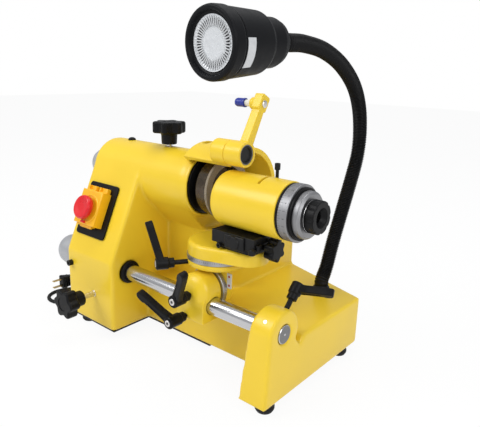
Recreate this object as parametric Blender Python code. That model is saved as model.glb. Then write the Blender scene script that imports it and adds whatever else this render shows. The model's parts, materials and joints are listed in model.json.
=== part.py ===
"""Bench cutter grinder: a cast body with a feed quill, a cup wheel under a guard, and a work
head carried by a slide, swivel, tilt and guide bar, lit by a gooseneck lamp.

The machine frame has X along the guide bar, Y from the front to the back and Z up. X is 0 at the
casting's left side, Y is 0 at the column's front and Z is 0 at the floor. The root empty moves
this frame so that the world origin is under the middle of the machine.
"""
import math

import bmesh
import bpy
from mathutils import Matrix, Vector

# Place of the world origin in the machine frame
ORIGIN_X = 0.2020
ORIGIN_Y = 0.1280

# Clearances
SEAT_GAP = 0.0003
RUN_GAP = 0.0004
SWING_GAP = 0.0010

# Feet and bottom cover
FOOT_R = 0.0130
FOOT_HEIGHT = 0.0090
FOOT_INSET = 0.0145
COVER_T = 0.0030
COVER_INSET = 0.0020

# Casting
LENGTH = 0.4190
COLUMN_WIDTH = 0.1188
BEND_Z = 0.1240
SPINDLE_Y = 0.1090
SPINDLE_Z = 0.2500
BARREL_R = 0.0486
BARREL_END = 0.2190
GUARD_SEAT_R = 0.0478
UPPER_BODY_END = 0.2050
WALL_Y = 0.1180
WALL_CORNER_R = 0.0250
BODY_LENGTH = 0.2590
BODY_DEPTH = 0.2870
BODY_TOP = 0.1780
BACK_TOP = 0.2000
SLAB_FRONT = 0.0718
SLAB_TOP = 0.0874
SLAB_ROUND = 0.0120
RIGHT_DEPTH = 0.2345
CORNER_R = 0.0060
PILLAR_WIDTH = 0.0434
PILLAR_DRAFT = 0.0120
PILLAR_R = 0.0310
PILLAR_LEAN = 0.0050
VALLEY_Z = 0.0770
WALL_T = 0.0140

# Guide bar, its bush, sleeve and feed knob
BAR_Y = 0.0341
BAR_Z = 0.1050
BAR_R = 0.0125
BAR_LEFT = 0.0340
SLEEVE_R = 0.0170
SLEEVE_LENGTH = 0.0600
SLEEVE_ROOM = 0.0120
BUSH_R = 0.0180
BUSH_T = 0.0050
FEED_KNOB_R = 0.0255
FEED_KNOB_LENGTH = 0.0480
FEED_SHAFT_R = 0.0060

# Quill, spindle and wheel
QUILL_R = 0.0280
QUILL_LEFT = 0.0620
QUILL_BACK = 0.0030
QUILL_FORWARD = 0.0050
QUILL_FLANGE_R = 0.0430
QUILL_FLANGE_T = 0.0040
RECESS_DEPTH = 0.0100
SPINDLE_R = 0.0120
SPINDLE_LEFT = 0.0240
SPINDLE_PULLEY_R = 0.0160
PULLEY_RIM = 0.0025
WHEEL_FLANGE_R = 0.0300
WHEEL_FLANGE_T = 0.0080
WHEEL_R = 0.0450
WHEEL_WIDTH = 0.0250
WHEEL_RIM = 0.0120
WHEEL_WEB = 0.0090
WHEEL_NUT_R = 0.0140
WHEEL_NUT_T = 0.0080
QUILL_KNOB_R = 0.0225
QUILL_KNOB_LENGTH = 0.0480

# Motor and belt
MOTOR_SHIFT = 0.0025
MOTOR_Z = 0.0900
MOTOR_R = 0.0480
MOTOR_LEFT = 0.0720
MOTOR_LENGTH = 0.1300
MOTOR_PULLEY_R = 0.0240
ROTOR_R = 0.0070
CAVITY_TOP = 0.1620
BELT_LEFT = 0.0330
BELT_WIDTH = 0.0090
BELT_T = 0.0025
BELT_ROOM = 0.0040

# Wheel guard and dresser
GUARD_R = 0.0650
GUARD_T = 0.0080
GUARD_LEFT = 0.2095
GUARD_RIGHT = 0.2945
GUARD_WALL = 0.0050
WINDOW_LENGTH = 0.0100
WINDOW_WIDTH = 0.0240
GUARD_FRONT_ANGLE = 133.0
GUARD_BACK_ANGLE = -15.0
DRESSER_Y = 0.0690
DRESSER_Z = 0.3122
DRESSER_HUB_R = 0.0170
DRESSER_HUB_LENGTH = 0.0270
DRESSER_BOSS_LENGTH = 0.0240
DRESSER_PIN_R = 0.0080
DRESSER_PIN_HEAD_R = 0.0130
DRESSER_PIN_HEAD_T = 0.0080
DRESSER_ARM_LENGTH = 0.0715
DRESSER_ARM_LEAN = 28.0
DRESSER_ARM_WIDTH = 0.0140
DRESSER_ARM_T = 0.0130
DRESSER_TOP_HALF = 0.0085
DRESSER_TOP_REACH = 0.0120
DRESSER_BLOCK_R = 0.0095
DRESSER_BLOCK_LENGTH = 0.0227
DRESSER_FERRULE_R = 0.0048
DRESSER_FERRULE_LENGTH = 0.0095
DRESSER_CAP_R = 0.0062
DRESSER_CAP_LENGTH = 0.0170

# Carriage on the guide bar
TILT_X = 0.2735
TILT_Z = 0.1200
HUB_R = 0.0280
HUB_FRONT = 0.0140
HUB_BACK = 0.0490
BRACKET_WIDTH = 0.0500
BRACKET_BOTTOM = 0.0820
BRACKET_WALL = 0.0075
TILT_RING_R = 0.0310
TILT_RING_T = 0.0070
TILT_PIN_R = 0.0080
TILT_PIN_SEAT = 0.0030
YOKE_T = 0.0140
YOKE_R = 0.0295
SWIVEL_Y = 0.0720
SWIVEL_R = 0.0450
SHELF_T = 0.0090
SWIVEL_RING_T = 0.0068
SWIVEL_PLATE_T = 0.0187
SWIVEL_PIN_R = 0.0110
PLATE_TAIL_X = 0.0520
PLATE_TAIL_R = 0.0290
PLATE_ROUND = 0.0070

# Dovetail slide
SLIDE_LEFT = 0.2880
SLIDE_LENGTH = 0.0720
SLIDE_HALF = 0.0310
SLIDE_BASE_T = 0.0070
SLIDE_BASE_HALF = 0.0270
DOVETAIL_T = 0.0070
DOVETAIL_NECK = 0.0130
DOVETAIL_FLARE = 0.0040
SLIDE_T = 0.0170
SLIDE_KNOB_R = 0.0140
SLIDE_KNOB_LENGTH = 0.0150
SLIDE_KNOB_DROP = 0.0185
SLIDE_TRAVEL_IN = 0.0040
SLIDE_TRAVEL_OUT = 0.0200

# Work head
HEAD_Z = 0.2504
HEAD_R = 0.0377
HEAD_LEFT = 0.2875
HEAD_LENGTH = 0.1050
HEAD_ROUND = 0.0050
HEAD_BORE_R = 0.0210
HEAD_SLIT = 0.0030
HEAD_SLIT_FROM_END = 0.0430
CLAMP_SCREW_R = 0.0037
CLAMP_SCREW_LENGTH = 0.0240
GASKET_R = 0.0362
GASKET_T = 0.0030
INDEX_R = 0.0367
INDEX_T = 0.0135
NECK_R = 0.0320
NECK_T = 0.0030
DRAW_RING_R = 0.0300
DRAW_RING_T = 0.0105
DRAW_KNOB_R = 0.0210
DRAW_KNOB_T = 0.0130
DRAW_KNOB_FLATS = 8
COLLET_R = 0.0205
COLLET_BORE_R = 0.0080

# Clamp levers
LEVER_HUB_R = 0.0085
LEVER_HUB_LENGTH = 0.0220
LEVER_ARM = 0.0620
SHORT_LEVER_ARM = 0.0490
LEVER_LEAN = 15.0
LEVER_STUD_R = 0.0035
LEVER_STUD = 0.0150
STUD_DEPTH = 0.0070
CARRIAGE_LEVER_X = 0.2655
CARRIAGE_LEVER_Z = 0.0865
TILT_LEVER_AIM = (0.5, 0, 0.86)
CARRIAGE_LEVER_AIM = (-0.82, 0, 0.57)
SWIVEL_LEVER_AIM = (-0.12, 0.08, 1.0)
BAR_LEVER_AIM = (1, 0.12, -0.12)
BAR_LEVER_WAY = (0, -1, -1)
BAR_LEVER_X = 0.4040

# Star knobs
STAR_R = 0.0250
STAR_T = 0.0180
STAR_HUB_R = 0.0130
STAR_HUB_T = 0.0170
STAR_STUD_R = 0.0040
STAR_LOBES = 6
QUILL_LOCK_X = 0.1330
QUILL_LOCK_STUD = 0.0035
BAR_LOCK_X = 0.0709
BAR_LOCK_Z = 0.0640
BAR_LOCK_STUD = 0.0230

# Switch on the leaning face
SWITCH_X = 0.0500
SWITCH_WIDTH = 0.0715
SWITCH_HEIGHT = 0.0880
SWITCH_UP = 0.0750
SWITCH_PLATE_T = 0.0030
SWITCH_BOX_X = 0.0440
SWITCH_BOX_WIDTH = 0.0440
SWITCH_BOX_HEIGHT = 0.0700
SWITCH_BOX_UP = 0.0815
SWITCH_DEPTH = 0.0100
LID_DEPTH = 0.0160
LID_WALL = 0.0020
BUTTON_R = 0.0070
BUTTON_T = 0.0060
BUTTON_SPACING = 0.0240
STOP_R = 0.0195
STOP_T = 0.0110
STOP_STEM_R = 0.0100
STOP_TRAVEL = 0.0040

# Lamp
LAMP_BASE_X = 0.3624
LAMP_BASE_Y = 0.2140
SOCKET_R = 0.0150
SOCKET_T = 0.0080
NECK_TUBE_R = 0.0110
NECK_BORE_R = 0.0050
NECK_RIB_DEPTH = 0.0012
NECK_RIBS = 105
NECK_ROUTE = (
    (0.3621, 0.2255, 0.1240),
    (0.3618, 0.2400, 0.1600),
    (0.3613, 0.2600, 0.2020),
    (0.3606, 0.2850, 0.2530),
    (0.3602, 0.3010, 0.2930),
    (0.3602, 0.3020, 0.3320),
    (0.3605, 0.2900, 0.3700),
    (0.3612, 0.2650, 0.4015),
    (0.3622, 0.2220, 0.4285),
    (0.3635, 0.1720, 0.4450),
    (0.3648, 0.1220, 0.4510),
)
LAMP_REAR = (0.3662, 0.0657, 0.4493)
LAMP_FRONT = (0.3596, -0.0460, 0.4433)
LAMP_BEZEL_R = 0.0382
LAMP_BEZEL_T = 0.0180
LAMP_BODY_R = 0.0370
LAMP_TAIL_R = 0.0280
LAMP_TAIL_LENGTH = 0.0310
LAMP_WALL = 0.0030
LENS_R = 0.0285
LENS_T = 0.0080
LENS_DEPTH = 0.0050

# Mains lead
CORD_R = 0.0033
GLAND_X = 0.1040
GLAND_Z = 0.0300
GLAND_R = 0.0090
GLAND_LENGTH = 0.0220
COIL_X = 0.0600
COIL_Y = 0.3620
COIL_STEP = 0.0086
COIL_LAYER = 0.0078
COIL_TURNS = 2.125
COIL_TAIL = 0.0070
PLUG_X = -0.1120
PLUG_BACK = 0.0900
PLUG_LENGTH = 0.0380
PLUG_WIDTH = 0.0180
PLUG_HEIGHT = 0.0260
BLADE_LENGTH = 0.0170
BLADE_PITCH = 0.0127
BLADE_WIDTH = 0.0015
BLADE_HEIGHT = 0.0063
LEAD_ROUTE = (
    (0.1040, 0.3205, 0.0274),
    (0.1040, 0.3320, 0.0168),
    (0.1040, 0.3430, 0.0063),
)
PLUG_ROUTE = (
    (0.0200, 0.4050, 0.0095),
    (-0.0100, 0.3950, 0.0048),
    (-0.0330, 0.3720, 0.0034),
    (-0.0460, 0.3350, 0.0034),
    (-0.0500, 0.2900, 0.0034),
    (-0.0500, 0.2200, 0.0034),
    (-0.0470, 0.1500, 0.0034),
    (-0.0430, 0.0900, 0.0034),
    (-0.0460, 0.0450, 0.0034),
    (-0.0600, 0.0150, 0.0034),
    (-0.0800, 0.0030, 0.0034),
    (-0.0990, 0.0090, 0.0034),
    (-0.1030, 0.0260, 0.0034),
    (-0.0920, 0.0440, 0.0034),
    (-0.0840, 0.0700, 0.0034),
    (-0.0780, 0.1100, 0.0034),
    (-0.0780, 0.1450, 0.0040),
    (-0.0950, 0.1660, 0.0060),
    (-0.1110, 0.1520, 0.0100),
    (-0.1120, 0.1280, 0.0125),
)

# Steps round a turned shape
ROUND = 24
LARGE_ROUND = 32
SMALL_ROUND = 14
INNER_ROUND = 16

# Places that follow from the sizes above
CASTING_Z = FOOT_HEIGHT + COVER_T + 2 * SEAT_GAP
PILLAR_LEFT = LENGTH - PILLAR_WIDTH
SHELF_Z = TILT_Z + TILT_RING_R + SWING_GAP
SWIVEL_RING_Z = SHELF_Z + SHELF_T + SEAT_GAP
SWIVEL_PLATE_Z = SWIVEL_RING_Z + SWIVEL_RING_T + RUN_GAP
SLIDE_BASE_Z = SWIVEL_PLATE_Z + SWIVEL_PLATE_T + SEAT_GAP
SLIDE_Z = SLIDE_BASE_Z + SLIDE_BASE_T + RUN_GAP
HEAD_FLAT_Z = SLIDE_Z + SLIDE_T + SEAT_GAP
HEAD_RIGHT = HEAD_LEFT + HEAD_LENGTH
YOKE_FRONT = HUB_BACK + TILT_RING_T + 2 * RUN_GAP
MOTOR_RIGHT = MOTOR_LEFT + MOTOR_LENGTH
MOTOR_Y = (WALL_Y + BODY_DEPTH) / 2 + MOTOR_SHIFT

X_AXIS = Vector((1, 0, 0))
Y_AXIS = Vector((0, 1, 0))
Z_AXIS = Vector((0, 0, 1))


def clear_scene():
    for item in list(bpy.data.objects):
        bpy.data.objects.remove(item, do_unlink=True)


def finish_material(name, color, roughness, metallic):
    """Principled material with one colour."""
    found = bpy.data.materials.new(name)
    found.use_nodes = True
    shader = found.node_tree.nodes["Principled BSDF"]
    shader.inputs["Base Color"].default_value = (*color, 1.0)
    shader.inputs["Roughness"].default_value = roughness
    shader.inputs["Metallic"].default_value = metallic
    return found


def arc(u, v, radius, start, end, steps):
    """Points along an arc in a plane, from one angle in degrees to another."""
    turn = [math.radians(start + (end - start) * i / steps) for i in range(steps + 1)]
    return [(u + radius * math.cos(a), v + radius * math.sin(a)) for a in turn]


def rounded(corners, radius, steps=4):
    """A polygon whose convex and hollow corners are arcs of one radius."""
    points = []
    count = len(corners)
    for i, corner in enumerate(corners):
        here = Vector(corner)
        back = (Vector(corners[i - 1]) - here).normalized()
        ahead = (Vector(corners[(i + 1) % count]) - here).normalized()
        half = back.angle(ahead) / 2
        reach = radius / math.tan(half)
        centre = here + (back + ahead).normalized() * (radius / math.sin(half))
        first = here + back * reach - centre
        last = here + ahead * reach - centre
        for k in range(steps + 1):
            spoke = first.lerp(last, k / steps).normalized() * radius
            points.append(tuple(centre + spoke))
    return points


def outward(bm):
    """Welds the seams and points every face out."""
    bmesh.ops.remove_doubles(bm, verts=bm.verts, dist=1e-7)
    bmesh.ops.recalc_face_normals(bm, faces=bm.faces)
    if bm.calc_volume(signed=True) < 0:
        bmesh.ops.reverse_faces(bm, faces=bm.faces)
    return bm


def turned(profile, base, axis, steps=ROUND):
    """Turns (height, radius) points about an axis that starts at base."""
    bm = bmesh.new()
    points = [bm.verts.new((radius, 0, height)) for height, radius in profile]
    solid = profile[0][1] == 0
    pairs = list(zip(points, points[1:]))
    if not solid:
        pairs.append((points[-1], points[0]))
    edges = [bm.edges.new(pair) for pair in pairs]
    bmesh.ops.spin(
        bm, geom=points + edges, cent=(0, 0, 0), axis=(0, 0, 1), angle=math.tau, steps=steps, use_merge=True
    )
    outward(bm)
    turn = Z_AXIS.rotation_difference(Vector(axis).normalized()).to_matrix().to_4x4()
    bmesh.ops.transform(bm, matrix=Matrix.Translation(base) @ turn, verts=bm.verts)
    return bm


def rod(base, axis, length, radius, steps=ROUND):
    """A plain round bar."""
    return turned([(0, 0), (0, radius), (length, radius), (length, 0)], base, axis, steps)


def ring(base, axis, length, outer, inner, steps=ROUND):
    """A plain ring."""
    return turned([(0, inner), (0, outer), (length, outer), (length, inner)], base, axis, steps)


def prism(outline, axis, low, high):
    """Extrudes a plane outline along X, Y or Z between two places."""
    place = {
        "X": lambda u, v, w: (w, u, v),
        "Y": lambda u, v, w: (u, w, v),
        "Z": lambda u, v, w: (u, v, w),
    }[axis]
    bm = bmesh.new()
    face = bm.faces.new([bm.verts.new(place(u, v, low)) for u, v in outline])
    grown = bmesh.ops.extrude_face_region(bm, geom=[face])
    moved = [item for item in grown["geom"] if isinstance(item, bmesh.types.BMVert)]
    shift = Vector(place(0, 0, high)) - Vector(place(0, 0, low))
    bmesh.ops.translate(bm, vec=shift, verts=moved)
    return outward(bm)


def block(low, high):
    """A box between two corners."""
    outline = [(low[0], low[1]), (high[0], low[1]), (high[0], high[1]), (low[0], high[1])]
    return prism(outline, "Z", low[2], high[2])


def soften(bm, test, width, segments=2):
    """Rounds the edges whose two ends pass a test."""
    edges = [e for e in bm.edges if test(e.verts[0].co, e.verts[1].co)]
    bmesh.ops.bevel(
        bm, geom=edges, offset=width, offset_type="OFFSET", segments=segments, profile=0.5,
        affect="EDGES", material=-1, clamp_overlap=True,
    )
    return outward(bm)


def turned_to(bm, matrix):
    """Moves a shape by a matrix."""
    bmesh.ops.transform(bm, matrix=matrix, verts=bm.verts)
    return bm


def piece(name, bm, finish, pivot=(0, 0, 0)):
    """One named part, with its origin at its pivot."""
    bmesh.ops.translate(bm, vec=-Vector(pivot), verts=bm.verts)
    mesh = bpy.data.meshes.new(name)
    bm.to_mesh(mesh)
    bm.free()
    mesh.materials.append(finish)
    mesh.shade_smooth()
    mesh.set_sharp_from_angle(angle=math.radians(35))
    made = bpy.data.objects.new(name, mesh)
    made.location = pivot
    made.parent = ROOT
    bpy.context.scene.collection.objects.link(made)
    return made


def work(target, bm, operation):
    """Joins a shape to a part, or cuts it away, by a Boolean."""
    name = f"{target.name}_{operation.lower()}_{len(target.modifiers)}"
    mesh = bpy.data.meshes.new(name)
    bm.to_mesh(mesh)
    bm.free()
    tool = bpy.data.objects.new(name, mesh)
    tool.parent = ROOT
    tool.hide_render = True
    tool.display_type = "WIRE"
    bpy.context.scene.collection.objects.link(tool)
    step = target.modifiers.new(name, "BOOLEAN")
    step.operation = operation
    step.object = tool
    step.solver = "EXACT"


def join(target, *shapes):
    for bm in shapes:
        work(target, bm, "UNION")


def cut(target, *shapes):
    for bm in shapes:
        work(target, bm, "DIFFERENCE")


def belt_outline(first, first_r, second, second_r, steps=12):
    """The outline of a tight loop round two circles."""
    a = Vector(first)
    b = Vector(second)
    along = b - a
    heading = math.degrees(math.atan2(along.y, along.x))
    spread = math.degrees(math.acos((first_r - second_r) / along.length))
    near = arc(a.x, a.y, first_r, heading + spread, heading + 360 - spread, steps)
    far = arc(b.x, b.y, second_r, heading - spread, heading + spread, steps)
    return near + far


def column_tangent():
    """Lean of the column's front above its bend, and where it meets the barrel."""
    reach = Vector((SPINDLE_Y, SPINDLE_Z - BEND_Z))
    lean = math.atan2(reach.x, reach.y) - math.asin(BARREL_R / reach.length)
    length = math.sqrt(reach.length**2 - BARREL_R**2)
    return lean, length


LEAN, LEAN_LENGTH = column_tangent()


def column_profile():
    """Side view of the column, up to the barrel's middle."""
    meet = (LEAN_LENGTH * math.sin(LEAN), BEND_Z + LEAN_LENGTH * math.cos(LEAN))
    inside = WALL_Y + WALL_CORNER_R
    return [
        (0, CASTING_Z), (0, BEND_Z), meet, (SPINDLE_Y, SPINDLE_Z),
        (inside, BODY_TOP), (inside, CASTING_Z),
    ]


def body_profile():
    """Side view of the upper body: barrel, hollow under it and the fall to the back."""
    back = Vector((BODY_DEPTH - SPINDLE_Y, BACK_TOP - SPINDLE_Z))
    fall = math.degrees(math.atan2(back.y, back.x) + math.acos(BARREL_R / back.length))
    under = SPINDLE_Z - BARREL_R * math.sqrt(2) - (WALL_Y - SPINDLE_Y)
    round_part = arc(SPINDLE_Y, SPINDLE_Z, BARREL_R, 225, fall, 16)
    return [
        (WALL_Y, CASTING_Z), (WALL_Y, under), *round_part,
        (BODY_DEPTH, BACK_TOP), (BODY_DEPTH, CASTING_Z),
    ]


def pillar_profile():
    """Side view of the pillar: front, round top about the bar and the valley behind it."""
    top = arc(BAR_Y, BAR_Z, PILLAR_R, 180, -30, 14)
    front = BAR_Y - PILLAR_R - PILLAR_LEAN
    inside = SLAB_FRONT + 2 * SLAB_ROUND
    valley = BAR_Y + PILLAR_R
    return [
        (front, CASTING_Z), *top, (valley + SLAB_ROUND / 2, VALLEY_Z),
        (inside, VALLEY_Z), (inside, CASTING_Z),
    ]


def make_casting():
    middle = COLUMN_WIDTH / 2
    column = prism(column_profile(), "X", 0, COLUMN_WIDTH)
    soften(column, lambda a, b: a.x == b.x and max(a.y, b.y) < SPINDLE_Y - SEAT_GAP, CORNER_R)
    casting = piece("main_casting", column, ENAMEL)
    seat_left = UPPER_BODY_END - GUARD_WALL
    barrel = rod((seat_left, SPINDLE_Y, SPINDLE_Z), X_AXIS, BARREL_END - seat_left, GUARD_SEAT_R)
    upper = prism(body_profile(), "X", 0, UPPER_BODY_END)
    corner = (BODY_LENGTH - WALL_CORNER_R, WALL_Y + WALL_CORNER_R)
    box = prism(
        [
            (middle, WALL_Y), *arc(*corner, WALL_CORNER_R, -90, 0, 6),
            (BODY_LENGTH, BODY_DEPTH), (middle, BODY_DEPTH),
        ],
        "Z", CASTING_Z, BODY_TOP,
    )
    slab = prism(
        [
            (middle, SLAB_FRONT), (LENGTH, SLAB_FRONT), (LENGTH, RIGHT_DEPTH),
            (BODY_LENGTH, BODY_DEPTH), (middle, BODY_DEPTH),
        ],
        "Z", CASTING_Z, SLAB_TOP,
    )
    face = SLAB_FRONT + SEAT_GAP
    soften(slab, lambda a, b: max(a.y, b.y) < face and min(a.z, b.z) > VALLEY_Z, SLAB_ROUND, 3)
    pillar = prism(pillar_profile(), "X", PILLAR_LEFT, LENGTH)
    for vert in pillar.verts:
        if vert.co.x < PILLAR_LEFT + SEAT_GAP:
            vert.co.x += PILLAR_DRAFT * (vert.co.z - CASTING_Z) / (BAR_Z + PILLAR_R - CASTING_Z)
    join(casting, upper, barrel, box, slab, pillar)
    cut_casting(casting)


def cut_casting(casting):
    """Bores for the quill and the bar, the motor room and the belt's way."""
    spindle = (0, SPINDLE_Y, SPINDLE_Z)
    bar = (0, BAR_Y, BAR_Z)
    room = (BODY_LENGTH - WALL_T, BODY_DEPTH - WALL_T, CAVITY_TOP)
    belt = belt_outline(
        (MOTOR_Y, MOTOR_Z), MOTOR_PULLEY_R + BELT_T + BELT_ROOM,
        (SPINDLE_Y, SPINDLE_Z), SPINDLE_PULLEY_R + BELT_T + BELT_ROOM,
    )
    shaft = FEED_SHAFT_R + RUN_GAP
    quill = QUILL_R + RUN_GAP
    sleeve = SLEEVE_R + RUN_GAP
    flange = QUILL_FLANGE_R + SWING_GAP
    recess = BARREL_END - RECESS_DEPTH
    beyond = BARREL_END + RECESS_DEPTH
    outside = COLUMN_WIDTH + BUSH_T
    cut(
        casting,
        turned(
            [
                (-WALL_T, 0), (-WALL_T, shaft), (WALL_T, shaft),
                (WALL_T, sleeve), (outside, sleeve), (outside, 0),
            ],
            bar, X_AXIS,
        ),
        block((WALL_T, WALL_Y + WALL_T, CASTING_Z - COVER_T), room),
        prism(belt, "X", BELT_LEFT - BELT_ROOM, BELT_LEFT + BELT_WIDTH + BELT_ROOM),
        rod((PILLAR_LEFT - WALL_T, BAR_Y, BAR_Z), X_AXIS, PILLAR_WIDTH + 2 * WALL_T, BAR_R + RUN_GAP),
        *stud_holes(),
        turned(
            [
                (-WALL_T, 0), (-WALL_T, shaft), (WALL_T, shaft),
                (WALL_T, quill), (recess, quill), (recess, flange),
                (beyond, flange), (beyond, 0),
            ],
            spindle, X_AXIS,
        ),
    )


def stud_holes():
    """Holes in the casting for the lock studs and the cable gland."""
    lock_top = (QUILL_LOCK_X, SPINDLE_Y, SPINDLE_Z + BARREL_R - STUD_DEPTH - RUN_GAP)
    lock_bar = (BAR_LOCK_X, STUD_DEPTH + RUN_GAP, BAR_LOCK_Z)
    inward = bar_lever_axis()
    lever = bar_lever_seat() + inward * (STUD_DEPTH + RUN_GAP)
    yield rod(lock_top, Z_AXIS, 2 * STUD_DEPTH, STAR_STUD_R + RUN_GAP, SMALL_ROUND)
    yield rod(lock_bar, -Y_AXIS, 2 * STUD_DEPTH, STAR_STUD_R + RUN_GAP, SMALL_ROUND)
    yield rod(lever, -inward, 3 * STUD_DEPTH, LEVER_STUD_R + RUN_GAP, SMALL_ROUND)
    yield rod(
        (GLAND_X, BODY_DEPTH - 2 * WALL_T, GLAND_Z), Y_AXIS, 3 * WALL_T, CORD_R + SWING_GAP, SMALL_ROUND,
    )


def make_feet():
    edge = COVER_INSET
    under = COVER_INSET + FOOT_INSET
    outline = [
        (edge, edge), (COLUMN_WIDTH - edge, edge), (COLUMN_WIDTH - edge, SLAB_FRONT + edge),
        (BODY_LENGTH - edge, SLAB_FRONT + edge),
        (BODY_LENGTH - edge, BODY_DEPTH - edge), (edge, BODY_DEPTH - edge),
    ]
    cover = prism(outline, "Z", FOOT_HEIGHT + SEAT_GAP, FOOT_HEIGHT + SEAT_GAP + COVER_T)
    piece("bottom_cover", cover, BLACK_STEEL)
    short = FOOT_HEIGHT
    tall = CASTING_Z - SEAT_GAP
    spots = {
        "foot_front_left": (2 * under, under, short),
        "foot_front_right": (LENGTH - FOOT_INSET, FOOT_INSET + FOOT_R / 4, tall),
        "foot_back_left": (2 * under, BODY_DEPTH - 2 * under, short),
        "foot_back_right": (LENGTH - FOOT_INSET, RIGHT_DEPTH - 2 * FOOT_INSET, tall),
    }
    for name, (x, y, top) in spots.items():
        profile = [(0, 0), (0, 0.85 * FOOT_R), (top / 3, FOOT_R), (top, FOOT_R), (top, 0)]
        piece(name, turned(profile, (x, y, 0), Z_AXIS, SMALL_ROUND), RUBBER)


def domed_knob(name, y, z, radius, length, finish):
    """A round feed knob on the casting's left side, with its shaft through the wall."""
    face = -SWING_GAP
    profile = [
        (-WALL_T - SLEEVE_ROOM / 2, 0), (-WALL_T - SLEEVE_ROOM / 2, FEED_SHAFT_R), (-face, FEED_SHAFT_R),
        (-face, 0.8 * radius), (0.12 * length, radius), (0.62 * length, radius),
        (0.84 * length, 0.86 * radius), (0.96 * length, 0.5 * radius), (length, 0),
    ]
    knob = turned(profile, (0, y, z), -X_AXIS)
    piece(name, knob, finish, (0, y, z))


def make_bar():
    at_bar = Vector((0, BAR_Y, BAR_Z))
    bush = ring(at_bar + X_AXIS * (COLUMN_WIDTH + SEAT_GAP), X_AXIS, BUSH_T, BUSH_R, BAR_R + RUN_GAP)
    piece("bar_bush", bush, BLACK_PLASTIC)
    length = LENGTH - BAR_LEFT
    edge = BAR_R / 10
    profile = [
        (0, 0), (0, BAR_R - edge), (edge, BAR_R),
        (length - edge, BAR_R), (length, BAR_R - edge), (length, 0),
    ]
    piece("guide_bar", turned(profile, at_bar + X_AXIS * BAR_LEFT, X_AXIS), STEEL, at_bar)
    sleeve_left = at_bar + X_AXIS * (BAR_LEFT + SEAT_GAP)
    sleeve = ring(sleeve_left, X_AXIS, SLEEVE_LENGTH, SLEEVE_R, BAR_R + RUN_GAP, INNER_ROUND)
    piece("bar_feed_sleeve", sleeve, BRONZE, at_bar)
    domed_knob("bar_feed_knob", BAR_Y, BAR_Z, FEED_KNOB_R, FEED_KNOB_LENGTH, ALUMINIUM)


def make_spindle():
    axis = Vector((0, SPINDLE_Y, SPINDLE_Z))
    bore = SPINDLE_R + RUN_GAP
    flange_left = BARREL_END - QUILL_FLANGE_T
    profile = [
        (QUILL_LEFT, bore), (QUILL_LEFT, QUILL_R), (flange_left, QUILL_R), (flange_left, QUILL_FLANGE_R),
        (BARREL_END, QUILL_FLANGE_R), (BARREL_END, bore),
    ]
    piece("spindle_quill", turned(profile, axis, X_AXIS, INNER_ROUND), BLACK_STEEL, axis)
    domed_knob("quill_feed_knob", SPINDLE_Y, SPINDLE_Z, QUILL_KNOB_R, QUILL_KNOB_LENGTH, ALUMINIUM)
    collar = BARREL_END + SWING_GAP
    nose = wheel_left() + WHEEL_WEB + WHEEL_NUT_T
    crown = SPINDLE_PULLEY_R + PULLEY_RIM
    left = BELT_LEFT - QUILL_FORWARD - SWING_GAP
    right = BELT_LEFT + BELT_WIDTH + QUILL_BACK + SWING_GAP
    core = 0.7 * SPINDLE_R
    spindle = turned(
        [
            (SPINDLE_LEFT, 0), (SPINDLE_LEFT, SPINDLE_R), (left - PULLEY_RIM, crown), (left, crown),
            (left, SPINDLE_PULLEY_R), (right, SPINDLE_PULLEY_R),
            (right, crown), (right + PULLEY_RIM, crown),
            (right + 2 * PULLEY_RIM, SPINDLE_R), (collar, SPINDLE_R), (collar, 1.5 * SPINDLE_R),
            (collar + 2 * SWING_GAP, 1.5 * SPINDLE_R),
            (collar + 2 * SWING_GAP, core), (nose, core), (nose, 0),
        ],
        axis, X_AXIS, INNER_ROUND,
    )
    piece("grinding_spindle", spindle, STEEL, axis)
    make_wheel(axis, core)


def wheel_left():
    """Place of the wheel's back face."""
    return BARREL_END + 3 * SWING_GAP + 2 * SEAT_GAP + WHEEL_FLANGE_T


def make_wheel(axis, core):
    back = wheel_left() - SEAT_GAP - WHEEL_FLANGE_T
    bore = core + SEAT_GAP
    flange = turned(
        [
            (0, bore), (0, 0.7 * WHEEL_FLANGE_R), (0.5 * WHEEL_FLANGE_T, WHEEL_FLANGE_R),
            (WHEEL_FLANGE_T, WHEEL_FLANGE_R), (WHEEL_FLANGE_T, bore),
        ],
        axis + X_AXIS * back, X_AXIS,
    )
    piece("wheel_flange", flange, BLACK_STEEL, axis)
    inner = WHEEL_R - WHEEL_RIM
    cup = turned(
        [
            (0, bore), (0, 0.86 * WHEEL_R), (WHEEL_WIDTH - SWING_GAP, WHEEL_R),
            (WHEEL_WIDTH, WHEEL_R - SWING_GAP),
            (WHEEL_WIDTH, inner + SWING_GAP), (WHEEL_WEB, 0.8 * inner), (WHEEL_WEB, bore),
        ],
        axis + X_AXIS * wheel_left(), X_AXIS,
    )
    piece("grinding_wheel", cup, ABRASIVE, axis)
    nut_left = wheel_left() + WHEEL_WEB + SEAT_GAP
    hexagon = arc(axis.y, axis.z, WHEEL_NUT_R, 0, 300, 5)
    nut = piece("wheel_nut", prism(hexagon, "X", nut_left, nut_left + WHEEL_NUT_T), STEEL, axis)
    cut(nut, rod(axis + X_AXIS * wheel_left(), X_AXIS, WHEEL_WIDTH, bore))


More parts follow.
